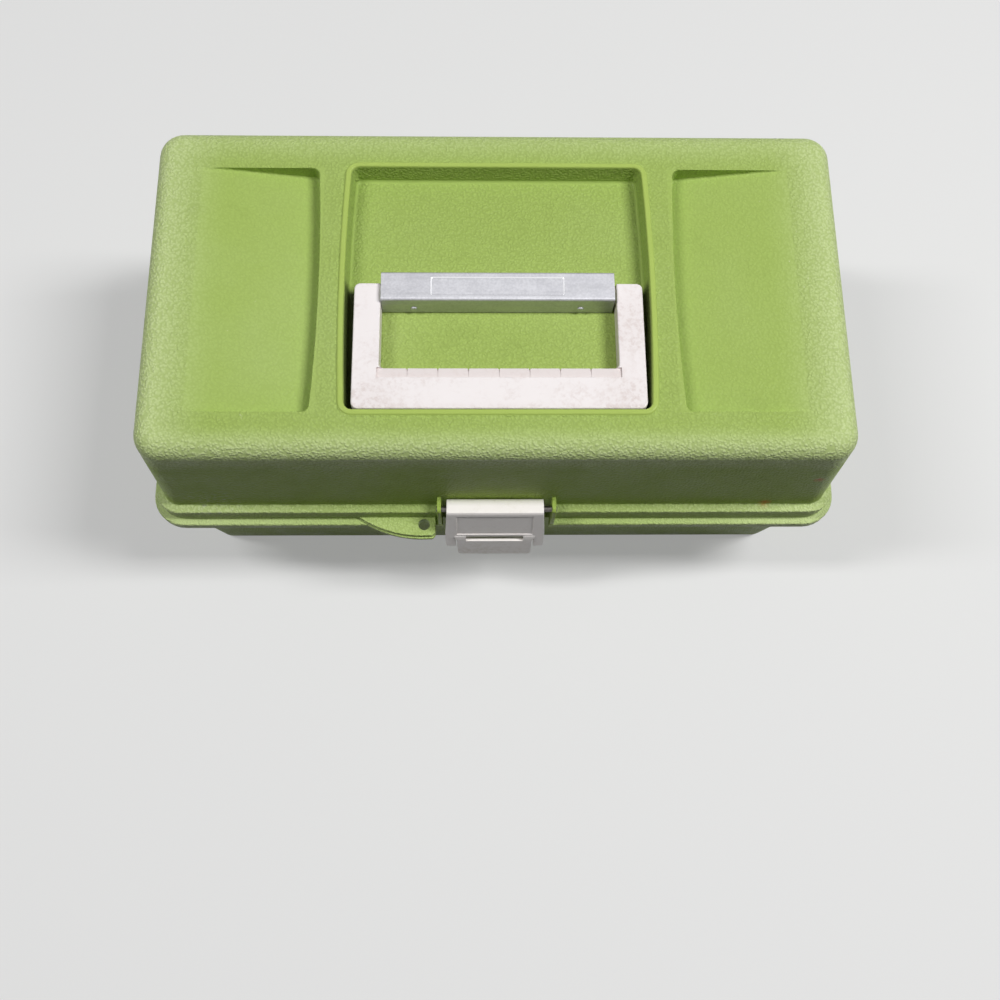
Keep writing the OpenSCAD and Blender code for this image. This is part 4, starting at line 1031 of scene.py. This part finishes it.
# %% Bracket
BRACKET_FOOT = 159.6
BEND = 1.3
SHEET = 1.5
PRESS_FLOOR, PRESS_MOUTH = (32.3, 4.5), (33.0, 5.1)
PRESS_LEVELS = ((PRESS_FLOOR, 0.6, -0.5), (PRESS_MOUTH, 1.0, 0.02), (PRESS_MOUTH, 1.0, 1.5))
front, rear = BRACKET_Y - 7.5, BRACKET_Y + 7.9
outline = [(rear, BRACKET_FOOT)] + arc((rear - BEND, BRACKET_TOP - BEND), BEND, 0, 90, 5)
outline += arc((front + BEND, BRACKET_TOP - BEND), BEND, 90, 180, 5)
outline += [(front, BRACKET_FOOT), (front + SHEET, BRACKET_FOOT)]
outline += [(front + SHEET, BRACKET_TOP - SHEET), (rear - SHEET, BRACKET_TOP - SHEET)]
outline += [(rear - SHEET, BRACKET_FOOT)]
bracket = prism("handle_bracket_strip", "X", -57.45, 57.8, outline, 0.3)
carve(bracket, loft("press", [
    [(x, y + BRACKET_Y, z) for x, y, z in rounded(half, radius, BRACKET_TOP + up, steps=4)]
    for half, radius, up in PRESS_LEVELS
]))
for side in (-1, 1):
    carve(bracket, rod("rivet hole", "Y", -12.0, 6.0, (side * RIVET_X, RIVET_Z), RIVET_HOLE, 24))
settle(bracket, "handle_bracket", "lid", bright_metal)

# %% [markdown]
# The latch is a hollow off-white moulding that hangs on a pin. From the front it widens towards
# its two legs, so each end ring takes its X from the height of every point. The inside is cut out,
# then the window that drops over the base's keeper and a shallow panel in the face. The pull tab
# is made in the same way and joined on below.

# %% Latch
LATCH_SHIFT = -0.8
LATCH_BACK = -99.6
LEG_HEIGHTS = (75.5, 75.7, 76.2, 77.5)
TAB_HEIGHTS = (66.0, 66.2, 66.8, 67.7, 69.0)
TAB_THICK = 2.6


def latch_ring(side, outline, half_at):
    """An end of the latch: a profile in Y and Z, with X from the half width at each height."""
    return [(side * half_at(z) + LATCH_SHIFT, y, z) for y, z in outline]


def latch_half(z):
    """Half width of the latch's body: round corners at the legs, and narrower at the top."""
    if z < 77.5:
        return 24.7 + math.sqrt(max(4.0 - (77.5 - z) ** 2, 0.0))
    return 26.7 - 1.2 * min(max((z - 90.6) / 18.1, 0.0), 1.0)


def tab_half(z):
    """Half width of the pull tab: round lower corners, and ears where it joins the face."""
    if z < 69.0:
        return 17.3 + math.sqrt(max(9.0 - (69.0 - z) ** 2, 0.0))
    return 20.3 + 1.5 * min(max((z - 83.0) / 2.5, 0.0), 1.0)


def across(name, half, outline):
    """A prism right across the latch, with a profile in Y and Z."""
    return prism(name, "X", LATCH_SHIFT - half, LATCH_SHIFT + half, outline)


def opening(name, half, low, high):
    """A block right across the latch, between two corners in Y and Z."""
    return block(name, (LATCH_SHIFT - half, *low), (LATCH_SHIFT + half, *high))


body = [(-110.1 + 0.235 * (z - 75.5), z) for z in LEG_HEIGHTS]
body += [(-108.45, 82.6), (-106.55, 90.6), (-102.35, 108.7)]
body += [(-102.0, 109.9), (-101.3, 110.6), (-100.6, 110.7)]
body += arc(LATCH_PIN, 5.2, 90, -22, 14)
body += [(LATCH_BACK, z) for z in (82.6, *reversed(LEG_HEIGHTS))]
latch = loft("front_latch", [latch_ring(side, body, latch_half) for side in (-1, 1)])
soften(latch, 0.55, 3, 40)
inside = [(-106.3, 73.0), (-105.3, 82.6), (-101.4, 101.8)] + arc(LATCH_PIN, 5.2, 225, 320, 8)
inside += [(-91.0, 102.0), (-91.0, 73.0)]
panel = [(-101.5, 107.4), (-102.35, 107.1), (-106.7, 88.4)]
panel += [(-108.5, 88.0), (-112.0, 90.0), (-108.0, 108.0)]
carve(latch, across("inside", 24.1, inside))
carve(latch, opening("window", 21.3, (-113.0, 73.0), (-99.0, 86.2)))
carve(latch, across("face panel", 20.5, panel))
tab = [(-112.3 + 0.2 * (z - 66.0), z) for z in TAB_HEIGHTS]
tab += [(-109.2, 81.6), (-108.9, 83.0), (-108.2, 85.5), (-107.6, 86.8)]
tab += [(y + TAB_THICK, z) for y, z in reversed(tab)]
pull_tab = loft("pull tab", [latch_ring(side, tab, tab_half) for side in (-1, 1)])
soften(pull_tab, 0.5, 3, 40)
carve(pull_tab, opening("keeper room", 15.6, (-114.0, 82.0), (-99.0, 90.0)))
join(latch, pull_tab)
carve(latch, rod("pin hole", "X", -30, 30, LATCH_PIN, PIN_HOLE, 32))
settle(latch, "latch", "latch", latch_ivory)

# %% [markdown]
# In the photograph each leg of the handle throws a shadow to both sides, and the narrow gaps
# beside the legs are black. So the light comes from two lamps, right and left of the case and
# about 58 degrees up, the right one about twice as strong, and hardly any from above or from the
# front. Only the camera and mirror-like rays see the floor and the surround as nearly white: for
# them the floor has a paler colour and glows a little, so that the shadow on it stays pale. The
# light that bounces off both is kept low, so that the front walls stay dark.

# %% Stage and lights
FLOOR_PALE, FLOOR_DIM = (0.52, 0.52, 0.515, 1.0), (0.090, 0.090, 0.087, 1.0)
GLOW, NO_GLOW = (0.30, 0.30, 0.30, 1.0), (0.0, 0.0, 0.0, 1.0)
SURROUND_PALE, SURROUND_DIM = (0.93, 0.93, 0.93, 1.0), (0.040, 0.041, 0.043, 1.0)
LAMP_X, LAMP_Z = 1.166, 2.036
LAMP_LENGTH = 0.8


def pale_to_camera(tree, pale, dim):
    """A colour that is pale to camera, glossy and transmitted rays, and dim to the rest."""
    path = tree.nodes.new("ShaderNodeLightPath")
    total = path.outputs["Is Camera Ray"]
    for other in ("Is Glossy Ray", "Is Transmission Ray"):
        add = tree.nodes.new("ShaderNodeMath")
        add.operation = "ADD"
        add.use_clamp = True
        tree.links.new(total, add.inputs[0])
        tree.links.new(path.outputs[other], add.inputs[1])
        total = add.outputs[0]
    mix = tree.nodes.new("ShaderNodeMix")
    mix.data_type = "RGBA"
    tree.links.new(total, mix.inputs[0])
    mix.inputs[6].default_value = dim
    mix.inputs[7].default_value = pale
    return mix.outputs[2]


bpy.ops.object.select_all(action="DESELECT")
bpy.ops.mesh.primitive_plane_add(size=8.0, location=(0, 0, 0))
floor = bpy.context.object
floor.name = "floor"
floor_finish = Finish("floor", Roughness=0.9, Specular_IOR_Level=0.1)
floor_colour = pale_to_camera(floor_finish.tree, FLOOR_PALE, FLOOR_DIM)
floor_finish.tree.links.new(floor_colour, floor_finish.shader.inputs["Base Color"])
floor_glow = pale_to_camera(floor_finish.tree, GLOW, NO_GLOW)
floor_finish.tree.links.new(floor_glow, floor_finish.shader.inputs["Emission Color"])
floor_finish.shader.inputs["Emission Strength"].default_value = 1.0
floor.data.materials.append(floor_finish.material)

world = bpy.data.worlds.new("surround")
bpy.context.scene.world = world
world.use_nodes = True
background = world.node_tree.nodes["Background"]
surround = pale_to_camera(world.node_tree, SURROUND_PALE, SURROUND_DIM)
world.node_tree.links.new(surround, background.inputs["Color"])


def lamp(name, side, width, watts):
    """An upright soft box at one side of the case, long from front to back, aimed at the lid."""
    light = bpy.data.lights.new(name, "AREA")
    light.shape = "RECTANGLE"
    light.size = width
    light.size_y = LAMP_LENGTH
    light.energy = watts
    holder = bpy.data.objects.new(name, light)
    bpy.context.scene.collection.objects.link(holder)
    place = Vector((side * LAMP_X, 0.0, LAMP_Z))
    aim = Vector((0.0, 0.0, CASE_TOP * MM)) - place
    holder.location = place
    holder.rotation_euler = aim.to_track_quat("-Z", "Y").to_euler()
    return holder


lamp("right_lamp", 1, 0.42, 36.5)
lamp("left_lamp", -1, 0.22, 18.5)
bpy.context.scene.view_settings.view_transform = "Standard"
print("stage and lights ready")
